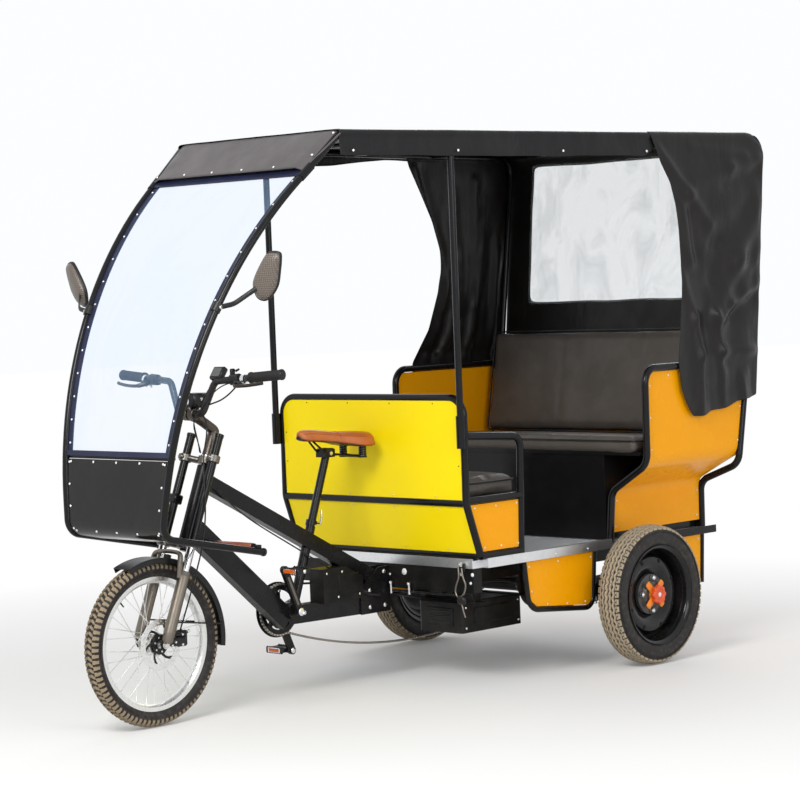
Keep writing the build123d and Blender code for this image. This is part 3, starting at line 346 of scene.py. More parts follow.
M["curtain"] = cloth("curtain_cloth", (0.009, 0.0076, 0.007), 0.38, wrinkle=0.25,
                     pale=(0.024, 0.020, 0.018))
M["slope"] = vinyl("slope_vinyl", (0.085, 0.076, 0.078), 0.34, 340, 0.12, (0.12, 0.108, 0.11))
M["apron"] = vinyl("apron_vinyl", (0.006, 0.006, 0.006), 0.16, 300, 0.06, (0.012, 0.011, 0.010))
M["seat"] = vinyl("seat_vinyl", (0.080, 0.069, 0.061), 0.42, 230, 0.25, (0.112, 0.098, 0.087))
M["seat_dark"] = vinyl("jump_vinyl", (0.016, 0.016, 0.017), 0.40, 230, 0.25)
M["tan"] = vinyl("saddle_leather", (0.44, 0.115, 0.028), 0.34, 300, 0.12, (0.56, 0.19, 0.06))
M["tan_dark"] = vinyl("saddle_leather_dark", (0.25, 0.055, 0.014), 0.30, 300, 0.12, (0.36, 0.09, 0.03))
M["board"] = painted("black_board", (0.007, 0.007, 0.008), 0.14, dusty=0.015, peel=0.03,
                     Specular_IOR_Level=0.2)
M["hem"] = vinyl("hem_tape", (0.010, 0.013, 0.040), 0.36, 500, 0.15, (0.022, 0.028, 0.070))
M["snap"] = painted("snap_white", (0.80, 0.81, 0.82), 0.22, dusty=0.12, peel=0.0)
M["sidewall"] = moulded("tyre_sidewall", (0.020, 0.017, 0.016), 0.55, 1300, 0.10, 0.16)
M["tread"] = moulded("tyre_tread", (0.30, 0.235, 0.155), 0.85, 900, 0.30, 0.5)
M["road_dust"] = moulded("tyre_road_dust", (0.42, 0.345, 0.245), 0.85, 900, 0.30, 0.4)
M["rim"] = bare_metal("rim_alloy", (0.78, 0.78, 0.77), 0.30, (1, 1, 1), dirt=0.12)
M["hub_alloy"] = bare_metal("hub_alloy", (0.55, 0.54, 0.52), 0.32, dirt=0.3)
M["crown"] = bare_metal("crown_grey", (0.17, 0.155, 0.14), 0.38)
M["stem"] = bare_metal("stem_bronze", (0.10, 0.085, 0.072), 0.34, dirt=0.3)
M["rim_black"] = painted("rim_black", (0.006, 0.006, 0.007), 0.13, dusty=0.03, peel=0.03,
                         Specular_IOR_Level=0.3)
# Painted shade: near-black for the discs that stand for the rear rims' vent holes.
M["hole_shade"] = moulded("vent_hole_shade", (0.004, 0.004, 0.004), 0.8)
M["orange_dark"] = painted("hub_lock_knob", (0.78, 0.085, 0.010), 0.30, dusty=0.05)
M["glass"] = bare_metal("mirror_glass", (0.86, 0.88, 0.90), 0.03, dirt=0.05)
M["lcd"] = painted("display_face", (0.10, 0.105, 0.10), 0.10, dusty=0.05, peel=0.0)
M["lever"] = bare_metal("lever_bronze", (0.075, 0.060, 0.050), 0.36, dirt=0.2)
M["reflector"] = painted("reflector_orange", (0.75, 0.13, 0.01), 0.14, dusty=0.1, peel=0.0)
M["lens"] = painted("red_lens", (0.42, 0.008, 0.010), 0.10, dusty=0.05, peel=0.0, Coat_Weight=0.6)
M["piping"] = vinyl("seat_piping", (0.012, 0.012, 0.012), 0.40, 500, 0.12)
M["tread_plate"] = bare_metal("tread_plate", (0.42, 0.43, 0.44), 0.30, (1, 8, 1), dirt=0.5)
M["cable"] = moulded("cable_black", (0.012, 0.012, 0.013), 0.38, 1500, 0.05)
M["pane"] = film("pane_film", (0.60, 0.70, 0.74), 0.14, 0.16, 7.0, 0.10, 0.0)
M["screen"] = film("screen_film", (0.34, 0.55, 0.86), 0.09, 0.05, 3.0, 0.04, 0.0)


def honeycomb(name):
    """Dark shell with a fine grid of sunk cells, as carbon-look plastic has."""
    n = Nodes(name, (0.2, 0.17, 0.14), 0.34)
    cell = n.math("MULTIPLY", n.wave(48.0, "Z", 0.0), n.wave(48.0, "Y", 0.0))
    n.set("Base Color", n.mix(cell, (0.10, 0.082, 0.068), (0.19, 0.158, 0.132)))
    n.bump(cell, 0.5, 0.0008, n.edges(0.001))
    return n.mat


M["shell"] = honeycomb("mirror_shell")

# What each CAD piece is made of
MADE_OF = {
    "frame": "main_frame seatpost fork rear_rim_left rear_rim_right crankset",
    "under": "chassis rear_axle power_boxes", "alu": "floor", "sunlit_amber": "front_panels",
    "black": "cabin_front cabin_side_left cabin_side_right cabin_rear roof_frame windshield_frame",
    "amber": "side_panels rear_panels rear_wall", "board": "seat_boxes", "tan": "saddle",
    "seat_dark": "jump_cushion", "seat": "bench_cushion bench_backrest", "roof": "canopy",
    "curtain": "rear_curtain curtain_left curtain_right", "apron": "apron", "chain": "chain",
    "plastic": "mirrors headlight front_fender pedal_left pedal_right", "bar_black": "handlebar",
    "cable": "brake_cable", "rubber": "front_tyre rear_tyre_left rear_tyre_right",
    "spoke": "front_rim", "screen": "windshield_film", "pane": "rear_window", "lens": "tail_lamps"}
for key, nodes in MADE_OF.items():
    for node in nodes.split():
        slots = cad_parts[node].data.materials
        slots.clear()
        slots.append(M[key])
for data in CORDS:
    data.materials.append(M["cable"])


# Mesh helpers
class Shape:
    """Closed forms gathered into one piece. Points are in metres."""

    def __init__(self):
        self.verts, self.faces, self.kinds = [], [], []

    def add(self, verts, faces, kind=0):
        first = len(self.verts)
        self.verts += [tuple(v) for v in verts]
        self.faces += [tuple(i + first for i in f) for f in faces]
        self.kinds += [kind] * len(faces)

    def skin(self, rings, kind=0, closed=False):
        """Skin through rings of one count of points, capped unless it runs round to its start."""
        count = len(rings[0])
        faces = []
        for i in range(len(rings) - (0 if closed else 1)):
            low, high = i * count, (i + 1) % len(rings) * count
            for k in range(count):
                m = (k + 1) % count
                faces.append((low + k, low + m, high + m, high + k))
        if not closed:
            faces.append(range(count - 1, -1, -1))
            faces.append(range((len(rings) - 1) * count, len(rings) * count))
        self.add([p for ring in rings for p in ring], faces, kind)

    def tube(self, points, radius, sides=10, kind=0, closed=False, squash=1.0, side=None):
        """Round tube along points; radius is one number in mm or one for each point."""
        count = len(points)
        radii = radius if isinstance(radius, (list, tuple)) else [radius] * count
        rings, normal = [], side
        for i, p in enumerate(points):
            ahead = points[(i + 1) % count] if closed or i < count - 1 else p
            back = points[i - 1] if closed or i > 0 else p
            along = (ahead - back).normalized()
            normal = square_to(along, normal)
            other = along.cross(normal) * squash
            rings.append([p + (normal * cos(a) + other * sin(a)) * radii[i] / 1000
                          for a in turns(sides)])
        self.skin(rings, kind, closed)

    def lathe(self, profile, centre, axis=LEFT, sides=48, kind=0, loop=False):
        """Profile of (radius, height) in mm turned round an axis; a loop makes a ring."""
        axis = Vector(axis).normalized()
        normal = square_to(axis)
        other = axis.cross(normal)
        verts, rows, faces = [], [], []
        for r, h in profile:
            level = centre + axis * h / 1000
            if r < 1e-6:
                rows.append([len(verts)] * sides)
                verts.append(level)
            else:
                rows.append(list(range(len(verts), len(verts) + sides)))
                verts += [level + (normal * cos(a) + other * sin(a)) * r / 1000 for a in turns(sides)]
        for low, high in list(zip(rows, rows[1:])) + ([(rows[-1], rows[0])] if loop else []):
            for k in range(sides):
                m = (k + 1) % sides
                face = tuple(dict.fromkeys((low[k], low[m], high[m], high[k])))
                if len(face) > 2:
                    faces.append(face)
        for row in () if loop else (rows[0][::-1], rows[-1]):
            if row[0] != row[1]:
                faces.append(row)
        self.add(verts, faces, kind)

    def box(self, centre, size, chamfer=1.0, basis=None, kind=0):
        """Box with chamfered edges; size and chamfer in mm."""
        basis = basis or (FORE, LEFT, UP)
        half = [s / 2000 for s in size]
        c = min(chamfer / 1000, min(half) * 0.9)
        verts, index = [], {}
        corners = list(product((-1, 1), repeat=3))
        for signs in corners:
            for which in range(3):
                index[(*signs, which)] = len(verts)
                reach = [h if w == which else h - c for w, h in enumerate(half)]
                verts.append(centre + sum((e * s * r for e, s, r in zip(basis, signs, reach)),
                                          vec(0, 0, 0)))
        faces = [[index[(*signs, w)] for w in range(3)] for signs in corners]
        for which in range(3):
            a, b = [w for w in range(3) if w != which]

            def at(s, p, q, face):
                key = [0, 0, 0]
                key[which], key[a], key[b] = s, p, q
                return index[(*key, face)]

            for s in (-1, 1):
                faces.append([at(s, p, q, which) for p, q in ((-1, -1), (1, -1), (1, 1), (-1, 1))])
            for p, q in product((-1, 1), repeat=2):
                faces.append([at(-1, p, q, a), at(1, p, q, a), at(1, p, q, b), at(-1, p, q, b)])
        self.add(verts, faces, kind)

    def dome(self, place, axis, radius, height, kind=0, sides=10):
        """Rivet, snap or bolt head that sits on a surface."""
        steps = ((radius, -0.4), (radius, height * 0.35), (radius * 0.72, height * 0.8), (0, height))
        self.lathe(((0, -0.4),) + steps, place, axis, sides, kind)

    def nut(self, place, axis, radius, height, kind=0):
        self.lathe(((0, -0.5), (radius, -0.5), (radius, height * 0.85), (radius * 0.85, height),
                    (0, height)), place, axis, 6, kind)

    def grid(self, rows, thick, kind=0, keep=None):
        """Sheet of one thickness through rows of points, with holes where keep says no."""
        nu, nv = len(rows), len(rows[0])
        normals = []
        for i in range(nu):
            line = []
            for j in range(nv):
                du = rows[min(i + 1, nu - 1)][j] - rows[max(i - 1, 0)][j]
                dv = rows[i][min(j + 1, nv - 1)] - rows[i][max(j - 1, 0)]
                line.append(du.cross(dv).normalized())
            normals.append(line)
        verts = [p for row in rows for p in row]
        verts += [rows[i][j] - normals[i][j] * thick / 1000 for i in range(nu) for j in range(nv)]
        faces, used = [], {}
        total = nu * nv
        for i in range(nu - 1):
            for j in range(nv - 1):
                if keep and not keep(i, j):
                    continue
                quad = (i * nv + j, (i + 1) * nv + j, (i + 1) * nv + j + 1, i * nv + j + 1)
                faces.append(quad)
                faces.append(tuple(reversed([q + total for q in quad])))
                for a, b in zip(quad, quad[1:] + quad[:1]):
                    used[frozenset((a, b))] = used.get(frozenset((a, b)), []) + [(a, b)]
        for pairs in used.values():
            if len(pairs) == 1:
                a, b = pairs[0]
                faces.append((b, a, a + total, b + total))
        self.add(verts, faces, kind)

    def done(self, name, materials, body, angle, slot, replaced=(), subdivide=0):
        """Make the piece; edges sharper than the angle stay sharp."""
        mesh = bpy.data.meshes.new(name)
        mesh.from_pydata(self.verts, [], self.faces)
        for key in ([materials] if isinstance(materials, str) else materials):
            mesh.materials.append(M[key])
        for face, kind in zip(mesh.polygons, self.kinds):
            face.material_index = kind
        work = bmesh.new()
        work.from_mesh(mesh)
        loose = [v for v in work.verts if not v.link_faces]
        bmesh.ops.delete(work, geom=loose, context="VERTS")
        bmesh.ops.recalc_face_normals(work, faces=work.faces)
        work.to_mesh(mesh)
        work.free()
        mesh.shade_smooth()
        if angle < 180:
            mesh.set_sharp_from_angle(angle=radians(angle))
        obj = bpy.data.objects.new(name, mesh)
        if subdivide:
            made = obj.modifiers.new("smooth", "SUBSURF")
            made.levels = made.render_levels = subdivide
        return finish_piece(obj, body, replaced)


def curve_points(points, steps=8, closed=False):
    """Smooth line through points (Catmull-Rom)."""
    out = []
    n = len(points)
    spans = n if closed else n - 1
    for i in range(spans):
        p0 = points[(i - 1) % n] if closed or i > 0 else points[0]
        p1, p2 = points[i], points[(i + 1) % n]
        p3 = points[(i + 2) % n] if closed or i < n - 2 else points[-1]
        for k in range(steps):
            t = k / steps
            start = 2 * p1 + (p2 - p0) * t + (2 * p0 - 5 * p1 + 4 * p2 - p3) * t * t
            out.append(0.5 * (start + (3 * p1 - p0 - 3 * p2 + p3) * t ** 3))
    if not closed:
        out.append(points[-1].copy())
    return out


def bend(points, radii, steps=6):
    """Straight runs joined by arcs, as the CAD tubes have."""
    out = [points[0]]
    for i in range(1, len(points) - 1):
        back = (points[i - 1] - points[i]).normalized()
        ahead = (points[i + 1] - points[i]).normalized()
        half = back.angle(ahead) / 2
        r = radii[i - 1] / 1000
        run = r / tan(half)
        a, b = points[i] + back * run, points[i] + ahead * run
        middle = points[i] + (back + ahead).normalized() * (r / sin(half))
        spread = pi - 2 * half
        u = (a - middle).normalized()
        w = (b - middle) - u * (b - middle).dot(u)
        w.normalize()
        for k in range(steps + 1):
            t = spread * k / steps
            out.append(middle + (u * cos(t) + w * sin(t)) * r)
    out.append(points[-1])
    return out


def lerp(a, b, t):
    return a + (b - a) * t


def table(rows, x):
    """Value at x in rows of (x, value) that rise in x."""
    for (xa, ya), (xb, yb) in zip(rows, rows[1:]):
        if x <= xb:
            return lerp(ya, yb, max(0.0, min(1.0, (x - xa) / (xb - xa))))
    return rows[-1][1]


def rough_noise(p, scale, seed=0.0):
    return noise.noise(vec(p.x * scale + seed, p.y * scale + seed * 0.7, p.z * scale - seed))


# Front wheel
def around(centre, r, y, angle):
    """Point on a wheel; the angle runs from straight up towards the front."""
    return centre + vec(sin(angle) * r, y, cos(angle) * r) / 1000


BLOCK = [(0, 3, 2, 1), (4, 5, 6, 7), (0, 1, 5, 4), (1, 2, 6, 5), (2, 3, 7, 6), (3, 0, 4, 7)]


def tread_block(s, centre, y0, y1, a0, a1, crown, deep, skew=0.0, inset=0.9, sway=0.0):
    """Block of tread between two widths and two angles, narrower at its top."""
    y0, y1 = sorted((y0, y1))
    r = crown(0)
    verts = []
    for level in (0, 1):
        cut = inset * level
        turn = cut / r
        for y, a in ((y0 + cut, a0 + turn), (y1 - cut, a0 + turn), (y1 - cut, a1 - turn),
                     (y0 + cut, a1 - turn)):
            y += sway if a > (a0 + a1) / 2 else -sway
            a += skew * (y - y0) / r
            verts.append(around(centre, crown(y) - (0 if level else deep), y, a))
    s.add(verts, BLOCK, 1)


def front_crown(y):
    return 257.3 - 0.0165 * y * y


def both_ways(half):
    """Closed outline from one half's (radius, width), whose last point is on the middle line."""
    return [(r, -y) for r, y in half] + [(r, y) for r, y in reversed(half[:-1])]


def wall_lines(s, centre, rows, thick, count):
    """Fine moulded lines round both walls of a tyre."""
    for (r, y), side in product(rows, SIDES):
        s.tube([around(centre, r, side * y, a) for a in turns(count)], thick, 5, closed=True)


F_WHEEL = P(*WHEEL_F)
F_BLOCKS = 84
s = Shape()
s.lathe(both_ways([(205, 11), (208, 17), (214, 20.5), (222, 25), (231, 27.6), (238, 27.9), (244, 25.8),
                   (248.2, 19), (250.6, 10), (251.3, 0)]), F_WHEEL, sides=128, loop=True)
wall_lines(s, F_WHEEL, ((224, 26.4), (233.5, 28.4)), 0.8, 96)
step = circle(1, F_BLOCKS)
for i, side in product(range(F_BLOCKS), SIDES):
    a = i * step + (0 if side > 0 else step / 2)
    tread_block(s, F_WHEEL, side * 16.5, side * 25.2, a, a + step * 0.70, front_crown, 5.5)
    tread_block(s, F_WHEEL, side * 24.2, side * 28.2, a + step * 0.06, a + step * 0.62,
                lambda y: 247.6 - 1.6 * (abs(y) - 24.2), 9.0, inset=0.5)
    tread_block(s, F_WHEEL, side * 2.2, side * 14.5, a + step * 0.30, a + step * 0.74, front_crown,
                5.5, side * 0.75)
s.done("front_tyre_tread", ("sidewall", "tread"), "front_wheel", 35, "tyre_rubber", ("front_tyre",))

s = Shape()
wall = ((189.5, 9), (196, 16.5), (203, 17.4), (210.6, 17.6), (211.2, 16.2), (204, 15.6), (203, 12),
        (200, 5))
rim = [(188, -5), (188, 5), *wall, *((r, -y) for r, y in reversed(wall))]
s.lathe(rim, F_WHEEL, sides=128, loop=True)
s.lathe(((6.2, -38), (12, -38), (19, -36), (20, -31), (31, -30.5), (31, -25.5), (16, -23), (14.5, -8),
         (14.5, 8), (17, 20), (34, 23.5), (34, 28.5), (21, 30), (20, 34), (12, 38), (6.2, 38)),
        F_WHEEL, sides=48, kind=1, loop=True)
for i, a in enumerate(turns(32)):
    side = 1 if i % 2 else -1
    swing = radians(62 if i % 4 < 2 else -62)
    flange = around(F_WHEEL, 29, side * (26 if side > 0 else 28), a + swing)
    end = around(F_WHEEL, 189, side * 2.5, a)
    s.tube([flange, end], 1.25, 6, 0)
    out = (end - flange).normalized()
    s.tube([end - out * 0.013, end + out * 0.002], [1.7, 2.1], 6, 0)
    s.dome(flange, (0, side, 0), 2.6, 2.2, 0, 6)


def undrilled(i, j):
    """Whether the brake disc has metal at this step round it and ring."""
    return not ((i % 6 == 1 and j == 1) or (i % 6 == 4 and j == 3) or (i % 12 in (2, 3) and j == 2))


rows = []
for i in range(145):
    a = circle(i, 144)
    out = 79.6 + 0.9 * sin(a * 12)
    rows.append([around(F_WHEEL, r, 39, a) for r in (60.5, 64, 67.5, 71, 74.5, out)])
s.grid(rows, 2.0, 0, keep=undrilled)
for i in range(6):
    a = radians(60 * i + 12)
    arm = [around(F_WHEEL, lerp(24, 62, k / 5), 38, a + 0.55 * (k / 5) ** 1.3) for k in range(6)]
    s.tube(arm, [6, 5, 4.2, 3.8, 4, 5], 8, 2, squash=0.35, side=vec(1, 0, 0.3))
    s.dome(around(F_WHEEL, 22, 39.5, a), LEFT, 3.4, 2.6, 0, 6)
s.lathe(((14, 36.6), (30, 36.6), (31, 38), (30, 40.2), (14, 40.6)), F_WHEEL, sides=40, kind=2,
        loop=True)
s.tube([around(F_WHEEL, r, 0, 0.7) for r in (200, 166)], [3, 2.4], 8, 2)
s.done("front_wheel_rim", ("rim", "hub_alloy", "plastic"), "front_wheel", 35, "rim_alloy",
       ("front_rim",))


# Rear wheels
def rear_crown(y):
    return 239.6 - 0.0030 * y * y - 0.0000014 * y ** 4


R_BLOCKS = 58
# Orange hub lock: growth and place of each ring of the knob, radius and place along an arm
LOCK_KNOB = ((0.3, 27), (0.94, 27), (1.0, 29), (1.0, 41), (0.93, 43.5), (0.66, 44), (0.60, 41),
             (0.3, 41))
LOCK_ARM = ((14, 21), (34, 21), (50, 20.5), (56, 20), (58.5, 19))


def rear_wheel(name, side):
    body = f"rear_wheel_{name}"
    hub = P(0, side * TRACK, REAR_Z)

    def out(rows):
        return [(r, side * y) for r, y in rows]

    s = Shape()
    s.lathe(both_ways([(160, 33), (165, 37), (171, 41), (180, 44.2), (196, 46.2), (210, 46),
                       (219, 44.2), (226, 40), (230.4, 33), (233, 20), (234, 0)]), hub, sides=144,
            loop=True)
    wall_lines(s, hub, ((176, 43.6), (214, 46.0), (218, 45.2)), 0.9, 120)
    step = circle(1, R_BLOCKS)

    def block(ya, yb, first, last, inset=0.3, sway=0.0):
        tread_block(s, hub, ya, yb, first, last, rear_crown, 6.0, 0, inset, sway)

    for i in range(R_BLOCKS):
        a = i * step
        for first, way in ((a, -1), (a + step / 2, 1)):
            block(-5.0, 5.0, first, first + step * 0.5, sway=3.0 * way)
            for edge in SIDES:
                block(edge * 11.6, edge * 18.0, first, first + step * 0.5, sway=2.4 * way)
                block(edge * 24.4, edge * 30.4, first, first + step * 0.5, sway=-2.4 * way)
        for edge in SIDES:
            shift = a + (0.5 * step if edge < 0 else 0)
            for ya, yb, start, end in ((34.4, 38.2, 0.06, 0.42), (34.4, 38.2, 0.56, 0.92),
                                       (39.4, 42.8, 0.10, 0.86)):
                block(edge * ya, edge * yb, shift + step * start, shift + step * end, 0.6)
    s.done(f"{name}_tyre_tread", ("sidewall", "road_dust"), body, 35, "tyre_rubber",
           (f"rear_tyre_{name}",))

    s = Shape()
    s.lathe(out(((22, -20), (66, -22), (80, -14), (96, -3), (112, 0.5), (124, -1.5), (134, -12),
                 (140, -30), (150, -34), (156, -28), (160, 18), (160, 36), (164, 41), (169, 43.2),
                 (170.6, 45), (169.6, 46.2), (166, 44.8), (158, 39), (155, 33), (153, -22), (148, -29),
                 (143, -26), (138, -9), (127, 3.2), (112, 5.2), (95, 2.4), (84, -5), (68, -14),
                 (22, -13))), hub, sides=96, loop=True)
    s.lathe(out(((158, 20), (158, -36), (162, -40), (168, -43), (171, -44), (170, -46), (164, -44),
                 (156, -38), (154, 18))), hub, sides=96, loop=True)
    s.lathe(out(((22, -60), (50, -60), (50, -18), (66, -14), (70, -9), (69, 1.6), (65, 4.0), (50, 4.6),
                 (44, 12), (40, 14.4), (22, 14.6))), hub, sides=64, kind=1, loop=True)
    # Eight near-black discs on the rim's face stand for vent holes: painted shade where each hole would
    # show the dark inside.
    for i in range(8):
        a = circle(i + 0.5, 8)
        s.dome(hub + mm(118 * sin(a), side * 4.6, 118 * cos(a)), (0, side, 0), 7.5, 1.2, 2, 16)
    for i in range(4):
        a = radians(90 * i + 4)
        place = hub + mm(56 * cos(a), side * 4.0, 56 * sin(a))
        s.lathe(((12, 0), (12, 3), (9.4, 4), (0, 4)), place, (0, side, 0), 20, 1)
        s.nut(place + vec(0, side * 0.004, 0), (0, side, 0), 8.6, 8.5, 3)
        s.dome(place + vec(0, side * 0.012, 0), (0, side, 0), 5.0, 3.5, 3, 12)
    s.done(f"{name}_wheel_rim", ("rim_black", "hub_grey", "hole_shade", "chrome"), body, 30,
           "rim_black", (f"rear_rim_{name}",))

    s = Shape()
    s.lathe(out(((10, 13), (24, 13), (26, 15), (26, 30), (22, 32), (10, 32.5))), hub, sides=40,
            loop=True)
    lobes = []
    for a in turns(96):
        reach = 31.5 + 2.6 * cos(a * 8)
        lobes.append((cos(a) * reach, sin(a) * reach))
    s.skin([[hub + mm(x * grow, side * y, z * grow) for x, z in lobes] for grow, y in LOCK_KNOB], 1)
    s.dome(hub + mm(0, side * 41, 0), (0, side, 0), 8, 3.0, 2, 16)
    for i in range(4):
        a = radians(45 + 90 * i)
        line = [hub + mm(r * cos(a), side * y, r * sin(a)) for r, y in LOCK_ARM]
        s.tube(line, [13, 12.4, 12.2, 11.6, 8], 16, 0, squash=0.42, side=vec(-sin(a), 0, cos(a)))
    s.done(f"{name}_hub_lock", ("orange", "orange_dark", "chrome"), body, 40, "rim_black")


rear_wheel("left", 1)
rear_wheel("right", -1)


# Fork
LEG_Y, AHEAD, CROWNS = 67.0, 30.0, (-80, -358)
STEER_BASIS = (STEER_FORE, LEFT, STEER_UP)


def along(y, *levels):
    return [steer(AHEAD, y, z) for z in levels]


s = Shape()
for side in SIDES:
    y = side * LEG_Y
    s.tube(along(y, 0, -366), 13.5, 24, 0)
    s.tube(along(y, 2.5, 0.5, -9, -10), [9, 14.6, 14.6, 13.5], 24, 0)
    s.tube(along(y, -364, -462), 13.2, 24, 2)
    s.tube(along(y, -446, -448, -460, -462), [16, 19.6, 19.6, 18], 24, 3)
    s.tube(along(y, -458, -470, -500, -560, -640, -668, -676), [18.6, 19, 18.6, 18.2, 18.8, 17.5, 13],
           24, 1)
    line = [steer(AHEAD + 4, y * 0.99, -640), steer(AHEAD + 1, side * 62, -664),
            steer(AHEAD, side * 59, -684), steer(AHEAD, side * 58, -698)]
    s.tube(line, [12, 14, 15, 7], 16, 0, squash=0.5, side=FORE)
    for z in CROWNS:
        s.tube(along(y, z - 11.5, z - 10, z + 10, z + 11.5), [18.6, 20.2, 20.2, 18.6], 28, 3)
        s.box(steer(AHEAD + 20, y, z), (12, 15, 18), 2.0, STEER_BASIS, 3)
        s.tube([steer(AHEAD + 21, y - 12, z), steer(AHEAD + 21, y + 12, z)], 3.6, 8, 4)
    s.nut(F_WHEEL + vec(0, side * 0.066, 0), (0, side, 0), 9.5, 9, 4)
    s.lathe(((0, 0), (12, 0), (12, 2), (0, 2)), F_WHEEL + vec(0, side * 0.0655, 0), (0, side, 0), 20, 4)
    arm = [steer(AHEAD + 16, y, -470), steer(AHEAD + 26, y * 0.99, -430),
           steer(AHEAD + 29, side * 60, -402), steer(AHEAD + 29, side * 40, -394),
           steer(AHEAD + 29, 0, -392)]
    s.tube(curve_points(arm, 5), 9.5, 12, 1, squash=0.7)
s.box(steer(AHEAD - 2, -LEG_Y, -215), (34, 36, 30), 4, STEER_BASIS, 0)
for z in CROWNS:
    line = [steer(AHEAD, -LEG_Y, z), steer(AHEAD - 8, -46, z), steer(4, -20, z), steer(2, 0, z),
            steer(4, 20, z), steer(AHEAD - 8, 46, z), steer(AHEAD, LEG_Y, z)]
    s.tube(curve_points(line, 4), 15, 16, 3, squash=0.72, side=STEER_FORE)
    s.tube([steer(0, 0, z - 11), steer(0, 0, z + 11)], [28, 28], 32, 3)
s.tube([steer(0, 0, -68), steer(0, 0, -64), steer(0, 0, -62)], [22, 22, 17.5], 28, 4)
s.tube([steer(0, 0, -372), steer(0, 0, -338)], 13.5, 20, 0)
s.tube([F_WHEEL + vec(0, -0.066, 0), F_WHEEL + vec(0, 0.066, 0)], 5.9, 16, 4)
s.tube([steer(0, 0, -69), steer(0, 0, -375)], 13, 16, 0)
s.done("fork_legs", ("frame", "bronze", "chrome", "crown", "steel"), "steering", 40, "fork_alloy",
       ("fork",))

s = Shape()
CAL = P(1688, 0, 268)
for y, w in ((49.5, 13), (31.2, 7)):
    s.box(CAL + vec(0, y / 1000, 0), (42, w, 50), 5, kind=0)
s.box(CAL + vec(-0.014, 0.042, 0), (14, 26, 46), 4, kind=0)
s.box(P(1714, 62, 262), (62, 11, 26), 4, kind=0)
s.box(P(1706, 62, 284), (40, 9, 12), 3, kind=0)
for x, z in ((1700, 283), (1700, 252), (1728, 262), (1742, 254)):
    s.dome(P(x, 67.4, z), LEFT, 4.6, 4, 1, 6)
s.tube([CAL + vec(-0.02, 0.052, 0.018), CAL + vec(-0.03, 0.052, 0.021)], 5.5, 12, 1)
s.dome(CAL + vec(0.004, 0.056, -0.006), LEFT, 11, 3, 2, 20)
s.done("brake_caliper", ("plastic", "chrome", "hub_alloy"), "steering", 35, "fork_alloy")


# Windscreen: hems, snaps, hoop ends, sleeves, mirrors
HOOP = bend([P(1350.93, 362, 1714), P(1841.93, 307, 1291.6), P(1895.93, 226, 605.7),
             P(1510.93, 250, 527.7)], (1430, 48), 40)
HOOP_LINE = sorted((p.z * 1000, p.x * 1000 - X0) for p in HOOP if p.z > 0.6)
HOOP_HALF = ((606, 226), (1291.6, 307), (1714, 362))


def on_screen(side, inner, z, out=0.0):
    """Point on the windscreen, so far in from a tube's middle and out from the sheet, mm."""
    x = table(HOOP_LINE, z)
    slope = (table(HOOP_LINE, z + 4) - table(HOOP_LINE, z - 4)) / 8
    normal = vec(1, 0, -slope).normalized()
    return P(x, side * (table(HOOP_HALF, z) - inner), z) + normal * out / 1000, normal


def strip(s, side, ins, outs, levels, thick, out=1.6):
    rows = []
    for z in levels:
        rows.append([on_screen(side, lerp(ins, outs, k / 3), z, out)[0] for k in range(4)])
    s.grid(rows if side > 0 else [list(reversed(r)) for r in rows], thick)


s = Shape()
levels = [lerp(851, 1700, i / 44) for i in range(45)]
for side in SIDES:
    strip(s, side, 9, 30, levels, 3.2)
    strip(s, side, 9, 30, levels, 1.6, out=-2.2)
for low, high in ((1682, 1704), (846, 862)):
    rows = []
    for z in (low, (low + high) / 2, high):
        half = table(HOOP_HALF, z) - 8
        p = on_screen(1, 0, z, 1.9)[0]
        rows.append([vec(p.x, lerp(-half, half, k / 24) / 1000, p.z) for k in range(25)])
    s.grid(rows, 3.6)
for side in SIDES:
    for i in range(12):
        place, normal = on_screen(side, 21, lerp(885, 1668, i / 11), 1.6)
        s.dome(place, normal, 3.5, 2.4, 1, 10)
for share in (0.02, 0.22, 0.42, 0.62, 0.84):
    z = 1693
    half = table(HOOP_HALF, z) - 14
    place, normal = on_screen(1, 0, z, 2.0)
    s.dome(vec(place.x, lerp(-half, half, share) / 1000, place.z), normal, 3.8, 2.6, 1, 10)
s.done("windscreen_hem", ("hem", "snap"), "vehicle", 60, "black_vinyl")

s = Shape()
for side in SIDES:
    for i in range(4):
        place, normal = on_screen(side, 22, lerp(622, 826, i / 3), 3.2)
        s.dome(place, normal, 3.9, 2.6, 0, 10)
for z, count in ((828, 5), (616, 5)):
    half = table(HOOP_HALF, z) - 30
    for i in range(count):
        place, normal = on_screen(1, 0, z, 3.2)
        s.dome(vec(place.x, lerp(-half, half, i / (count - 1)) / 1000, place.z), normal, 3.9, 2.6, 0,
               10)
for i, v in enumerate((-0.96, -0.58, -0.20, 0.20, 0.62)):
    s.dome(P(1377, v * 356, 1719), (0.76, 0, 0.65), 4.0, 2.8, 0, 10)
for side in SIDES:
    for x, y, z in ((1262, 376, 1817), (1342, 360, 1749)):
        s.dome(P(x, side * y, z), (0.6, side * 0.25, 0.75), 4.0, 2.8, 0, 10)
for x, y in ((790, 460), (1200, 396), (330, 509), (-60, 550)):
    s.dome(P(x, y + 3, 1762), LEFT, 4.4, 3.0, 0, 10)
s.done("front_snaps", ("snap",), "vehicle", 40, "aluminium_trim")

s = Shape()
for side in SIDES:
    end, back = HOOP[-1].copy(), HOOP[-2].copy()
    end.y, back.y = side * end.y, side * back.y
    axis = (end - back).normalized()
    s.lathe(((9, -6), (12.8, -6), (13.2, -1), (12.4, 2.4), (0, 3.2)), end, axis, 24, 0)
for y0, y1 in ((44, 222), (-222, -190), (-170, -60)):
    s.tube([P(1529.9, y, 544.7) for y in (y0, y0 + 2, y1 - 2, y1)], [11.2, 12.6, 12.6, 11.2], 20, 1)
for y in (-236, 236):
    s.dome(P(1562, y + (14 if y > 0 else -14), 540), (0, 1 if y > 0 else -1, 0.2), 7, 4, 2, 12)
s.done("hoop_ends", ("plastic", "copper", "snap"), "vehicle", 40, "black_plastic")

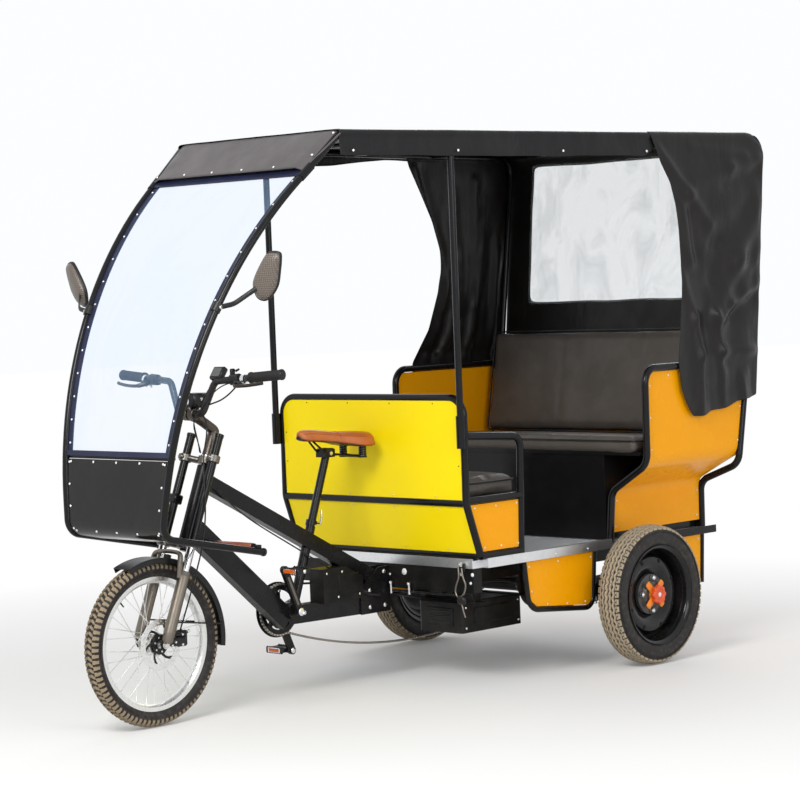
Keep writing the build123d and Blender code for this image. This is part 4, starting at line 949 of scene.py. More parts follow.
MIRROR_LEAF = ((9, 70), (34, 75), (56, 67), (55, 45), (47, 15), (33, -27), (9, -57), (-18, -73),
               (-42, -69), (-54, -54), (-58, -27), (-51, -4), (-26, 32))
tilt = Matrix.Rotation(radians(8), 4, "Y") @ Matrix.Rotation(radians(15), 4, "Z")


def leaf_ring(side, grow, x):
    ring = []
    for p in curve_points([vec(0, y, z) for y, z in MIRROR_LEAF], 5, closed=True):
        q = tilt @ (p * grow + vec(x, 0, 0))
        ring.append(P(1642.93 + q.x, side * (458 + q.y), 1377 + q.z))
    return ring


s = Shape()
for side in SIDES:
    s.skin([leaf_ring(side, g, x) for g, x in ((0.86, -12), (0.94, -14.5), (0.99, -13.5), (1.0, -9),
                                               (0.97, -5), (0.93, -3.5))], 1)
    s.skin([leaf_ring(side, g, x) for g, x in ((0.92, -8), (0.93, -3), (0.88, 2.5), (0.78, 7),
                                               (0.62, 10.5), (0.42, 12.6), (0.2, 13.6))], 0)
    s.skin([leaf_ring(side, g, x) for g, x in ((0.90, -14.9), (0.90, -12))], 2)
    stalk = [P(1710.9, side * 308, 1290), P(1699.9, side * 372, 1300), P(1641.9, side * 441, 1357)]
    s.tube(curve_points(bend(stalk, (40,), 6), 1), 7.8, 12, 1, squash=0.45)
    s.tube([P(1704.5, side * 308.4, 1303), P(1719.3, side * 305.6, 1279)], 15.5, 20, 1)
    s.lathe(((0, 0), (7, 0), (7, 5), (5, 6), (0, 6)), P(1712, side * 324, 1291), (0, side, 0.1), 6, 3)
    s.tube([P(1641, side * 440, 1356), P(1643, side * 452, 1366)], [7, 11], 14, 1)
s.done("mirror_shells", ("shell", "plastic", "glass", "steel"), "vehicle", 40, "black_plastic",
       ("mirrors",))


# Handlebar
s = Shape()
BAR_LINE = ((86, 0, 78), (86, 56, 78), (72, 106, 181), (40, 382, 200))
grip_at = (254.0 - 106) / (382 - 106)
grip_in = near(lerp(72, 40, grip_at), 254, lerp(181, 200, grip_at))
for side in SIDES:
    line = [near(x, side * y, z) for x, y, z in BAR_LINE]
    s.tube(bend(line, (30, 30), 8), 11, 20, 0)
    a, b = grip_in.copy(), near(*BAR_LINE[3])
    a.y, b.y = side * a.y, side * b.y
    run = (b - a).normalized()
    size = (b - a).length * 1000
    profile = [(11, -1), (17.8, 0), (17.8, 5), (15.2, 6)]
    for k in range(26):
        h = 8 + k * 4.1
        profile += [(15.0, h), (16.0, h + 0.9), (16.0, h + 2.4), (15.0, h + 3.3)]
    profile += [(15.2, size - 7), (17.0, size - 6), (17.0, size - 1), (15.5, size), (0, size + 0.6)]
    s.lathe(profile, a, run, 28, 1)
    s.lathe(((0, 0), (13, 0), (12, 2.2), (5, 2.8), (4, 1.6), (0, 1.4)), b, run, 24, 3)
    clamp = near(64, side * 200, 187)
    s.tube([clamp + run * t for t in (-0.024, -0.022, 0.010, 0.012)], [14, 17.5, 17.5, 15], 20, 3)
    s.box(near(62, side * 196, 182), (30, 38, 26), 5, None, 3)
    s.tube([near(66, side * 228, 186), near(64, side * 240, 187)], [15.2, 15.2], 20, 2)
    s.box(near(78, side * 222, 176), (26, 26, 16), 4)
    s.nut(near(76, side * 222, 167), (0, 0, -1), 4.2, 4, 2)
    blade = [near(84, side * 214, 174), near(98, side * 226, 170), near(107, side * 244, 168),
             near(103, side * 290, 170), near(94, side * 335, 175), near(90, side * 347, 177)]
    s.tube(curve_points(blade, 5), [7 if i < 8 else 5.4 for i in range(24)] + [5.8, 3.4], 12, 5,
           squash=0.8)
    s.tube([near(72, side * 214, 173), near(72, side * 202, 163)], [4.4, 3.4], 10, 2)
s.box(near(60, 176, 209), (16, 13, 22), 3, None, 3)
s.tube([near(56, 186, 212), near(49, 196, 218)], [4, 3.2], 10, 3)
s.dome(near(50, 206, 190), (-1, 0, 0.1), 4.5, 3, 6, 12)
s.dome(near(50, 192, 190), (-1, 0, 0.1), 4.5, 3, 7, 12)
face = Matrix.Rotation(radians(-35), 3, "Y")
basis = (face @ FORE, LEFT, face @ UP)
middle = near(61, 112, 204)
s.box(middle, (20, 52, 45), 4, basis, 3)
for out, size, chamfer, kind in ((0.0102, (1.6, 44, 37), 1.2, 3), (-0.0106, (1.2, 42, 33), 1.0, 4),
                                 (0.0115, (1.2, 38, 31), 1.0, 4)):
    s.box(middle + basis[0] * out, size, chamfer, basis, kind)
s.tube([near(66, 100, 186), near(60, 112, 196)], 7, 12, 3)
for y in (1, -1):
    s.tube([near(86, y * 3, 78), near(86, y * 5, 78), near(86, y * 25, 78), near(86, y * 27, 78)],
           [17, 20, 20, 18], 28, 8)
    s.box(near(102, y * 15, 92), (9, 14, 12), 2, None, 8)
    s.nut(near(105, y * 15, 97), (0.3, 0, 1), 4, 4, 2)
neck = [steer(0, 0, 8), steer(3, 0, 22), near(26, 0, 44), near(58, 0, 64), near(86, 0, 78)]
s.tube(curve_points(neck, 5), [16.6, 16.6, 17.0, 17.2, 17.0] + [16.4] * 11 + [17, 18, 19, 18, 17], 24,
       8)
s.tube([steer(0, 0, -66), steer(0, 0, -62), steer(0, 0, -20), steer(0, 0, 14), steer(0, 0, 22),
        steer(0, 0, 26)], [19, 19, 17.4, 17.4, 16.2, 11], 28, 8)
s.nut(steer(0, 0, 26), STEER_UP, 6.5, 5, 2)
for z in (-44, -28):
    s.box(steer(-19, 0, z), (10, 22, 11), 2, STEER_BASIS, 8)
    s.tube([steer(-20, -14, z), steer(-20, 14, z)], 3.2, 8, 2)
s.done("handlebar_parts", ("bar_black", "rubber", "chrome", "plastic", "lcd", "lever", "reflector",
                           "lens", "stem"), "steering", 38, "black_plastic", ("handlebar",))

s = Shape()
lamp_at = near(64, 0, 121)
s.box(lamp_at, (66, 68, 46), 9)
s.lathe(((0, 0), (26, 0), (30, 3), (30, 8), (27, 10)), lamp_at + vec(0.030, 0, 0), FORE, 32, 0)
s.lathe(((0, 0), (26, 0), (24, 5), (14, 8.5), (0, 9.5)), lamp_at + vec(0.0315, 0, 0), FORE, 32, 1)
s.box(lamp_at + vec(-0.014, 0, -0.026), (26, 22, 12), 3, None, 2)
for side in SIDES:
    s.dome(lamp_at + vec(0.004, side * 0.034, 0.004), (0, side, 0), 6, 3.4, 2, 14)
s.done("headlight_body", ("plastic", "glass", "steel"), "steering", 40, "black_plastic", ("headlight",))


# Roof cloth, slope and curtains
ROOF_HALF = ((-700, 614), (-661.5, 612), (802, 455), (1243, 386))
BOWS = (-590, -130, 330, 802, 1215)
CORNER_X, CORNER_Z, CORNER_R = -573.0, 1750.0, 80.5


def roof_top(x):
    """Height of the roof cloth, which rounds down into the rear curtain."""
    if x > CORNER_X:
        return 1830.5
    return CORNER_Z + CORNER_R * sqrt(max(0.0, 1 - ((CORNER_X - x) / CORNER_R) ** 2))


def sag(x):
    """How far the roof cloth hangs between two bows."""
    for a, b in zip(BOWS, BOWS[1:]):
        if a <= x <= b:
            return 7.0 * sin(pi * (x - a) / (b - a)) ** 2
    return 0.0


def roof_row(x, top, left, right, seed):
    """One line across the roof from the left flap's hem to the right one's."""
    half = table(ROOF_HALF, x)
    line = []
    for side, depth in ((1, left), (-1, right)):
        part = []
        for k in range(6):
            t = 1 - k / 5
            loose = t * min(1.0, depth / 60)
            flutter = 5.0 * loose * rough_noise(P(x, side * 90, 0), 9.0, seed) + 1.0 * loose
            hem = 5.0 * loose * rough_noise(P(x, side * 50, 0), 6.0, seed + 4)
            part.append((half - 3.0 + flutter + 1.5 * sin(k * 1.3) * loose,
                         top - 24 - (depth - 24) * t + hem))
        part += [(half - 1.0, top - 20), (half + 0.5, top - 13), (half - 3, top - 4),
                 (half - 13, top - 0.5)]
        line.append([P(x, side * y, z) for y, z in part])
    middle = []
    for k in range(1, 16):
        y = lerp(half - 15, -(half - 15), k / 16)
        flatness = 1 - abs(y / half) ** 4
        crease = 1.6 * rough_noise(P(x, y, 0), 7.0, 2.0) * flatness
        middle.append(P(x, y, top - sag(x) * flatness + crease))
    return line[0] + middle + list(reversed(line[1]))


s = Shape()
rows = []
for i in range(96):
    x = lerp(1246, CORNER_X, i / 95)
    left = table(((-700, 27), (-150, 27), (-60, 84), (400, 88), (1246, 84)), x)
    right = table(((-661, 40), (138, 36), (543, 64), (850, 88), (1100, 74), (1246, 60)), x)
    rows.append(roof_row(x, 1830.5, left, right, 1.0))
for i in range(1, 10):
    x = CORNER_X - CORNER_R * sin(radians(7.6 * i))
    rows.append(roof_row(x, roof_top(x), 27, 30, 1.0))
s.grid(rows, 1.6)
roof = s.done("roof_cloth", "roof", "vehicle", 180, "black_cloth", ("canopy",), 1)

s = Shape()
rows = []
for i in range(15):
    t = i / 14
    x, z = lerp(1236, 1384, t), lerp(1833.5, 1711.5, t)
    if i == 0:
        x, z = 1216, 1832.6
    half = lerp(387, 358, t)
    line = []
    for k in range(25):
        v = k / 12 - 1
        y = half * v
        drop = 9.0 * max(0.0, abs(v) - 0.93) / 0.07
        puff = 3.0 * (1 - v * v) * sin(pi * t) + 1.2 * rough_noise(P(x, y, z), 9.0, 5.0)
        line.append(P(x - 0.6 * drop, y, z - drop * 1.2 + puff))
    rows.append(line)
s.grid(rows, 1.5)
for end in (0, -1):
    s.tube([row[end] + vec(0, 0, 0.0015) for row in rows[1:]], 3.2, 8)
hem = [p + vec(0, 0, 0.001) for p in rows[-1]]
s.tube(hem, 3.4, 8, squash=0.6)
slope = s.done("roof_front_slope", "slope", "vehicle", 60, "black_vinyl")


def rear_line(z):
    if z <= CORNER_Z:
        return -661.5 + (1827 - z) * 96.5 / 922
    rise = (z - CORNER_Z) / CORNER_R
    return CORNER_X - (CORNER_R - 2.0 * rise) * sqrt(max(0.0, 1 - rise * rise))


def flutter(y, z):
    """How the rear curtain's cloth and its clear pane stray together."""
    p = P(0, y, z)
    dx = 5.0 * rough_noise(p, 3.2, 3.0) + 2.5 * rough_noise(p, 9.0, 8.0)
    return dx, 7.0 * rough_noise(p, 5.0, 11.0), 6.0 * rough_noise(p, 5.5, 17.0)


def rear_point(y, z, back=0.0):
    dx, dy, dz = flutter(y, z)
    loose = max(0.0, min(1.0, (608 - abs(y)) / 60, (1815 - z) / 60))
    return P(rear_line(z) + (dx + 2) * loose - back, y + dy * loose, z + dz * loose)


levels = [1822, 1800, 1784, 1768] + [lerp(1768, 1251, k / 16) for k in range(1, 16)] + [1251]
levels += [lerp(1251, 905, k / 9) for k in range(1, 10)]
places = [-608, -585, -560, -535, -510, -485] + [lerp(-485, 485, k / 24) for k in range(1, 24)]
places += [485, 510, 535, 560, 585, 608]
s = Shape()
rows = [[rear_point(y, z) for y in places] for z in levels]
s.grid(rows, 1.4, keep=lambda i, j: not (3 <= i < 19 and 5 <= j < 29))
curtain = s.done("rear_curtain_cloth", "curtain", "vehicle", 180, "black_cloth", ("rear_curtain",), 1)

s = Shape()
rows = []
for i in range(19):
    z = lerp(1778, 1240, i / 18)
    rows.append([rear_point(lerp(-497, 497, k / 28), z, -1.6) for k in range(29)])
s.grid(rows, 0.8)
pane = s.done("rear_pane", "pane", "vehicle", 180, "clear_film", ("rear_window",), 1)


def ridge_height(ridges, x, z):
    """Sum of soft ridges and valleys, each along one line of the cloth."""
    total = 0.0
    for x0, z0, x1, z1, height, width in ridges:
        dx, dz = x1 - x0, z1 - z0
        t = max(0.0, min(1.0, ((x - x0) * dx + (z - z0) * dz) / (dx * dx + dz * dz)))
        away = hypot(x - x0 - dx * t, z - z0 - dz * t)
        if away < 3 * width:
            total += height * exp(-(away / width) ** 2)
    return total


def side_curtain(name, front, top, low, side, folds, ridges, seed, replaced):
    """Cloth that hangs from the roof's edge, outside the cabin rail, with gathered folds."""
    front = sorted((z, x) for x, z in front)
    start_x = front[-1][1]
    rows = []
    if side > 0:
        for inward, lower in ((17, -1.6), (5, -0.2)):
            line = []
            for k in range(49):
                x = lerp(start_x, rear_line(CORNER_Z) + 4, k / 48)
                line.append(P(x, table(ROOF_HALF, x) - inward, roof_top(x) - lower))
            rows.append(line)
    for i in range(61):
        v = i / 60
        line = []
        for k in range(49):
            u = k / 48
            head = min(top, roof_top(lerp(start_x, rear_line(CORNER_Z) + 4, u)) - 9)
            z = lerp(head, table(low, u), v)
            z += 3 * sin(u * 17 + seed) * v
            x = lerp(table(front, z), rear_line(z) + 5, u)
            hang = min(1.0, (top - z) / (top - 1040))
            y = lerp(table(ROOF_HALF, x) + (3.0 if side > 0 else -1.5), 613.6, max(0.0, hang))
            wave = 0.0
            for count, slant, phase, size, start in folds:
                swell = size * sin(2 * pi * (count * u + slant * v) + phase)
                wave += swell * max(0.0, min(1.0, (v - start) * 3.5))
            edge = min(1.0, u * 9, (1 - u) * 9 + 0.35)
            p = P(x, y, z)
            slanted = vec(p.x * 1.6 + p.z * 0.9, 0, p.z * 0.8 - p.x * 0.5)
            crease = 1.0 - abs(rough_noise(slanted, 6.5, seed)) * 2.0
            fine = rough_noise(p, 24.0, seed + 3)
            held = min(1.0, (head - z) / 40)
            out = (wave + 3.0 * max(0.0, crease) * min(1, v * 5) + 1.0 * fine) * edge
            out = (out + ridge_height(ridges, x, z) * min(1.0, u * 20 + 0.3, (1 - u) * 12 + 0.2)) * held
            if z < 1060:
                out = max(out, 0.0) * 0.9 + 1.0
            line.append(P(x, side * (y + out), z))
        rows.append(line)
    if side < 0:
        rows = [list(reversed(r)) for r in rows]
    s = Shape()
    s.grid(rows, 1.3)
    made = s.done(name, "curtain", "vehicle", 180, "black_cloth", replaced, 1)
    return made


LEFT_FRONT = ((-80, 1830), (-95, 1785), (-118, 1725), (-158, 1655), (-174, 1586), (-181, 1499),
              (-179, 1386), (-169, 1265), (-144, 1136), (-118, 1042), (-131, 938), (-160, 880),
              (-192, 838), (-192, 800))
LEFT_RIDGES = ((-605, 1573, -481, 1380, 15, 48), (-481, 1380, -344, 1189, 17, 42),
               (-579, 1583, -378, 1435, -9, 38), (-378, 1435, -331, 1313, -10, 34),
               (-602, 1305, -425, 1222, 14, 24), (-425, 1222, -363, 1171, 13, 18),
               (-602, 1262, -430, 1185, -10, 22), (-331, 1194, -365, 1057, 13, 15),
               (-365, 1057, -361, 881, 9, 24), (-183, 1317, -226, 1185, 9, 22),
               (-226, 1185, -242, 1049, 13, 18), (-242, 1049, -231, 845, 12, 24),
               (-290, 1180, -300, 1000, -9, 24), (-300, 1000, -300, 860, -8, 28),
               (-365, 1057, -569, 1056, 12, 15), (-380, 1025, -569, 1015, -9, 18),
               (-273, 1777, -551, 1752, 6, 14), (-106, 1776, -253, 1611, 9, 18),
               (-253, 1611, -345, 1505, 8, 24), (-629, 1743, -469, 1707, 10, 20),
               (-469, 1707, -284, 1655, 8, 28), (-620, 1690, -440, 1640, -8, 24),
               (-205, 1560, -235, 1380, 8, 28), (-250, 1560, -262, 1400, -8, 24),
               (-470, 960, -480, 890, 9, 20), (-530, 990, -540, 900, -6, 18),
               (-620, 1420, -500, 1290, 9, 24))
RIGHT_FRONT = ((0, 1800), (-14, 1770), (-80, 1680), (-160, 1570), (-208, 1463), (-214, 1380),
               (-200, 1300), (-150, 1160), (-62, 1037), (-60, 940))
# Lower edge: share of the width, height. Folds: count, slant, phase, size, where they start
LEFT_LOW = ((0, 839), (0.17, 844), (0.64, 868), (0.82, 886), (1, 895))
LEFT_FOLDS = ((1.6, 0.9, 0.4, 3.0, 0.05), (3.3, -0.8, 1.1, 2.0, 0.25))
side_curtain("curtain_left_cloth", LEFT_FRONT, 1818, LEFT_LOW, 1, LEFT_FOLDS, LEFT_RIDGES, 2.3,
             ("curtain_left",))
RIGHT_RIDGES = ((-40, 1760, -215, 1380, -9, 30), (-90, 1760, -260, 1380, 10, 26),
                (-215, 1380, -100, 1050, 10, 26), (-300, 1700, -330, 1200, 11, 26),
                (-420, 1720, -400, 1250, -9, 26), (-140, 1080, -520, 1060, 9, 16))
RIGHT_LOW = ((0, 962), (0.5, 970), (1, 966))
RIGHT_FOLDS = ((4.0, 0.4, 0.9, 6.0, 0.2), (7.0, -0.3, 0.0, 3.0, 0.4))
side_curtain("curtain_right_cloth", RIGHT_FRONT, 1812, RIGHT_LOW, -1, RIGHT_FOLDS, RIGHT_RIDGES, 6.1,
             ("curtain_right",))


# Saddle: X, half width, top, lower edge of the leather
SADDLE = ((1113, 4, 863, 857), (1109, 13, 869, 848), (1098, 20, 873, 843), (1078, 22.5, 874, 840),
          (1040, 24, 871, 837), (1002, 28, 867, 832), (972, 36, 863, 828), (944, 48, 860, 823),
          (914, 63, 859, 817), (884, 76, 858, 811), (856, 81, 857, 809), (838, 77, 855, 812),
          (828, 66, 851, 818), (822, 44, 846, 826))


def saddle_ring(x, half, high, edge):
    """Cross-section of the saddle: a crown that rolls over into short skirts."""
    ring = []
    for k in range(21):
        a = pi * k / 20
        v = cos(a)
        dip = 2.2 * exp(-(v * 3.2) ** 2) * max(0.0, min(1.0, (1060 - x) / 120))
        y = half * (abs(v) ** 0.82) * (1 if v > 0 else -1)
        z = edge + (high - edge) * sin(a) ** 0.62 - dip
        ring.append(P(x, y, z))
    for k in range(1, 8):
        v = k / 4 - 1
        ring.append(P(x, half * 0.93 * v, edge + 3 + 4 * (1 - v * v)))
    return ring


s = Shape()
stations = [SADDLE[0]]
for a, b in zip(SADDLE, SADDLE[1:]):
    stations += [tuple(lerp(p, q, t) for p, q in zip(a, b)) for t in (0.5, 1.0)]
s.skin([saddle_ring(*row) for row in stations])
edge_line = [saddle_ring(*row)[0] for row in stations]
edge_line += [saddle_ring(*row)[20] for row in reversed(stations)]
s.tube([p + vec(0, 0, -0.0005) for p in edge_line], 2.2, 8, 1, closed=True)
seam = [p + vec(0, 0, 0.0004) for p in saddle_ring(958, 42, 861.5, 825.5)[1:20]]
s.tube(seam, 1.0, 6, 1)
for side in SIDES:
    line = [saddle_ring(*row)[10 + side * 7] + vec(0, 0, 0.0003) for row in stations[3:20]]
    s.tube(line, 0.8, 6, 1)
rings = []
for x, half, _, edge in SADDLE[1:]:
    half, high, low = max(half * 0.94, 6), edge + 6, edge - 5
    rings.append([P(x, half * v, z) for v, z in ((-1, high), (-0.9, low + 2), (-0.6, low), (0.6, low),
                                                 (0.9, low + 2), (1, high), (0.5, high + 3),
                                                 (-0.5, high + 3))])
s.skin(rings, 2)
s.done("saddle_leather", ("tan", "tan_dark", "plastic"), "vehicle", 50, "tan_leather", ("saddle",))

s = Shape()
for side in SIDES:
    coil = []
    for k in range(90):
        a = circle(k, 18)
        z = lerp(774, 812, k / 89)
        coil.append(P(866 + 11 * cos(a), side * 46 + 11 * sin(a), z))
    s.tube(coil, 2.2, 8, 1)
    for z in (770, 814):
        s.lathe(((0, -2), (14.5, -2), (14.5, 2), (0, 2)), P(866, side * 46, z), UP, 20, 0)
    s.nut(P(993, side * 23.5, 791), (0, side, 0), 7.5, 6, 1)
s.box(P(993, 0, 803), (34, 52, 9), 3)
s.tube([P(993, -26, 791), P(993, 26, 791)], 4, 10, 1)
lean = (P(1098, 0, 574) - P(1104, 0, 560)).normalized()
collar = P(1071.5, 0, 563)
s.tube([collar + vec(-0.021, -0.012, 0), collar + vec(-0.021, 0.024, 0)], 3.2, 10, 1)
s.tube([collar + vec(-0.021, 0.022, 0), collar + vec(-0.024, 0.026, 0.016),
        collar + vec(-0.028, 0.023, 0.044)], [3.4, 3.6, 2.4], 10, 1)
s.dome(P(1137, 20.4, 279), LEFT, 7.5, 5, 2, 16)
s.done("saddle_fittings", ("plastic", "steel", "snap"), "vehicle", 38, "black_plastic")


# Cushions
PRESSURE, MOST, VOXEL, FRAMES = 3.0, 0.009, 0.008, 16


def settle(obj):
    """Blow the cushion up as cloth, so its cover stretches and creases, then keep the result."""
    remesh = obj.modifiers.new("remesh", "REMESH")
    remesh.mode, remesh.voxel_size = "VOXEL", VOXEL
    bpy.context.view_layer.objects.active = obj
    bpy.ops.object.modifier_apply(modifier="remesh")
    start = [v.co.copy() for v in obj.data.vertices]
    sim = obj.modifiers.new("cover", "CLOTH")
    sim.settings.quality = 4
    sim.settings.mass = 0.3
    sim.settings.use_pressure = True
    sim.settings.uniform_pressure_force = PRESSURE
    sim.settings.tension_stiffness = sim.settings.compression_stiffness = 12
    sim.settings.bending_stiffness = 1.2
    sim.settings.effector_weights.gravity = 0
    sim.settings.vertex_group_mass = "held"
    sim.collision_settings.use_collision = False
    scene = bpy.context.scene
    for f in range(1, FRAMES + 1):
        scene.frame_set(f)
    shown = obj.evaluated_get(bpy.context.evaluated_depsgraph_get()).data
    moved = [v.co.copy() for v in shown.vertices]
    obj.modifiers.remove(sim)
    for v, a, b in zip(obj.data.vertices, start, moved):
        step = b - a
        v.co = a + step * min(1.0, MOST / max(step.length, 1e-9))
    scene.frame_set(1)


def hold(obj, test):
    """Points of the cover that the base, seams and buttons hold still."""
    group = obj.vertex_groups.new(name="held")
    chosen = [v.index for v in obj.data.vertices if test(v.co)]
    group.add(chosen, 1.0, "REPLACE")


AROUND = ((0, 0), (1, 0), (1, 1), (0, 1))


def cushion(name, size, place, turned, radius, puff, channels, material, node, seed, fall=0.0):
    """Upholstered block: rolled edges, a crown, shallow channels and creases near the corners."""
    half = [v / 2000 for v in size]
    nx, ny, nz = (max(2, round(v / 16)) for v in size)
    r = radius / 1000

    def shape(p):
        inner = [max(0.0001, h - r) for h in half]
        core = Vector([max(-i, min(i, c)) for c, i in zip(p, inner)])
        out = p - core
        q = core + (out.normalized() * r if out.length > 1e-9 else out)
        u, v = q.x / half[0], q.y / half[1]
        top = max(0.0, q.z / half[2])
        crown = puff / 1000 * (1 - abs(u) ** 3.0) * (1 - abs(v) ** 3.0)
        seam = 0.0
        for direction, where in channels:
            d = (u if direction == "x" else v) - where
            spread = 9 / 1000 / half[0 if direction == "x" else 1]
            seam += 0.004 * exp(-(d / spread) ** 2)
        crease = 0.0016 * rough_noise(q, 14, seed) + 0.0008 * rough_noise(q, 38, seed + 2)
        corner = 0.003 * rough_noise(vec(q.x + q.y * 0.6, q.y - q.x, 0), 30, seed)
        corner *= (abs(u) * abs(v)) ** 3
        q.z += (crown - seam + crease + corner) * top
        q += vec(u, v, 0) * 0.0025 * (1 - top) * rough_noise(q, 18, seed + 5)
        return q

    verts, faces, index = [], [], {}

    def vertex(i, j, k):
        key = (i, j, k)
        if key not in index:
            index[key] = len(verts)
            verts.append(shape(vec(lerp(-half[0], half[0], i / nx), lerp(-half[1], half[1], j / ny),
                                   lerp(-half[2], half[2], k / nz))))
        return index[key]

    for i, j in product(range(nx), range(ny)):
        faces.append([vertex(i + a, j + b, nz) for a, b in AROUND])
        faces.append([vertex(i + b, j + a, 0) for a, b in AROUND])
    for i, k in product(range(nx), range(nz)):
        faces.append([vertex(i + a, 0, k + b) for a, b in AROUND])
        faces.append([vertex(i + b, ny, k + a) for a, b in AROUND])
    for j, k in product(range(ny), range(nz)):
        faces.append([vertex(0, j + b, k + a) for a, b in AROUND])
        faces.append([vertex(nx, j + a, k + b) for a, b in AROUND])
    mesh = bpy.data.meshes.new(name)
    mesh.from_pydata(verts, [], faces)
    obj = bpy.data.objects.new(name, mesh)
    bpy.context.collection.objects.link(obj)
    low = -half[2] * 0.4

    def seam_or_base(c):
        near_seam = any(abs((c.x / half[0] if way == "x" else c.y / half[1]) - at) < 0.012
                        for way, at in channels)
        return c.z < low or near_seam

    hold(obj, seam_or_base)
    settle(obj)
    for v in obj.data.vertices:
        drop = fall / 1000 * (1 - v.co.x / half[0]) / 2
        v.co.z -= drop * max(0.0, (v.co.z + half[2]) / (2 * half[2]))
    place_at = Matrix.Translation(place) @ Matrix.Rotation(radians(turned), 4, "Y")
    obj.data.transform(place_at)
    work = bmesh.new()
    work.from_mesh(obj.data)
    bmesh.ops.recalc_face_normals(work, faces=work.faces)
    work.to_mesh(obj.data)
    work.free()
    obj.data.materials.clear()
    obj.data.materials.append(M[material])
    obj.data.shade_smooth()
    made = obj.modifiers.new("smooth", "SUBSURF")
    made.levels = made.render_levels = 1
    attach(obj, "vehicle")
    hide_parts(node)
    return place_at


def piping(name, points):
    s = Shape()
    s.tube(points, 3.0, 8, closed=True)
    s.done(name, "piping", "vehicle", 180, "seat_vinyl")


def round_outline(place, size, radius, z, fall=0.0):
    """Rounded rectangle on a cushion, in its own frame."""
    hx, hy, r = size[0] / 2, size[1] / 2, radius
    line = []
    for cx, cy, start in ((hx - r, hy - r, 0), (-hx + r, hy - r, 90), (-hx + r, -hy + r, 180),
                          (hx - r, -hy + r, 270)):
        for k in range(7):
            a = radians(start + 15 * k)
            x = cx + r * cos(a)
            line.append(place @ (vec(x, cy + r * sin(a), z - fall * (1 - x / hx) / 2) / 1000))
    return line


BENCH = (562, 1140, 47)
where = cushion("bench_cushion_soft", BENCH, P(-196, 0, 759), 0, 15, 8, (("y", -0.333), ("y", 0.333)),
                "seat", "bench_cushion", 1.0, 32)
piping("bench_piping", round_outline(where, (BENCH[0] - 6, BENCH[1] - 6, 0), 16, 15, 28))
JUMP = (250, 800, 58)
where = cushion("jump_cushion_soft", JUMP, P(626, 0, 658), 0, 16, 9, (("y", 0.0),), "seat",
                "jump_cushion", 4.0)
piping("jump_piping", round_outline(where, (JUMP[0] - 6, JUMP[1] - 6, 0), 16, 19))
BACK = (384, 1128, 52)
lean = degrees(atan2(357, 65))
where = cushion("backrest_soft", BACK, P(-463, 0, 948.5), lean, 14, 7, (("y", -0.333), ("y", 0.333)),
                "seat", "bench_backrest", 7.0)
piping("backrest_piping", round_outline(where, (BACK[0] - 4, BACK[1] - 4, 0), 18, 16))


# Chain, ring teeth, pedals
CRANK = P(1190, -42, 291)
SPROCKET = P(0, -42, 240)


def chain_path():
    """Closed centre line of the chain: taut above, hanging below."""
    across_axes = (SPROCKET - CRANK).normalized()
    lean = atan2(across_axes.z, across_axes.x)
    off = acos((0.0835 - 0.030) / (SPROCKET - CRANK).length)
    line = []
    for k in range(25):
        a = lerp(lean - off, lean - off - radians(206), k / 24)
        line.append(CRANK + vec(cos(a), 0, sin(a)) * 0.0835)
    start = line[-1]
    for k in range(1, 40):
        t = k / 40
        x = lerp(start.x, SPROCKET.x + 0.006, t)
        z = lerp(start.z, SPROCKET.z - 0.0296, t) - 0.094 * 4 * t * (1 - t)
        line.append(vec(x, CRANK.y, z))
    for k in range(13):
        a = lerp(radians(-78), lean - off - 2 * pi, k / 12)
        line.append(SPROCKET + vec(cos(a), 0, sin(a)) * 0.030)
    return line


def resample(line, count):
    """Evenly spaced points round a closed line."""
    ends = line[1:] + line[:1]
    runs = [(b - a).length for a, b in zip(line, ends)]
    total, out = sum(runs), []
    at, i, done = 0.0, 0, 0.0
    for k in range(count):
        goal = total * k / count
        while done + runs[i] < goal:
            done += runs[i]
            i += 1
        t = (goal - done) / runs[i]
        out.append(line[i].lerp(ends[i], t))
    return out


path_line = chain_path()
total = sum((b - a).length for a, b in zip(path_line, path_line[1:] + path_line[:1]))
links = 2 * round(total / 0.0127 / 2)
pins = resample(path_line, links)
s = Shape()
for i, (a, b) in enumerate(zip(pins, pins[1:] + pins[:1])):
    run = (b - a).normalized()
    width = 3.5 if i % 2 else 2.3
    for y in (width, -width):
        s.box((a + b) / 2 + LEFT * y / 1000, ((b - a).length * 1000 + 6.5, 1.0, 7.0), 2.6,
              (run, LEFT, LEFT.cross(run)))
    s.lathe(((0, -4.3), (2.0, -4.3), (2.0, -1.7), (3.7, -1.6), (3.7, 1.6), (2.0, 1.7), (2.0, 4.3),
             (0, 4.3)), a, LEFT, 8, 1)
s.done("chain_links", ("chain", "steel"), "vehicle", 40, "chain_steel", ("chain",))

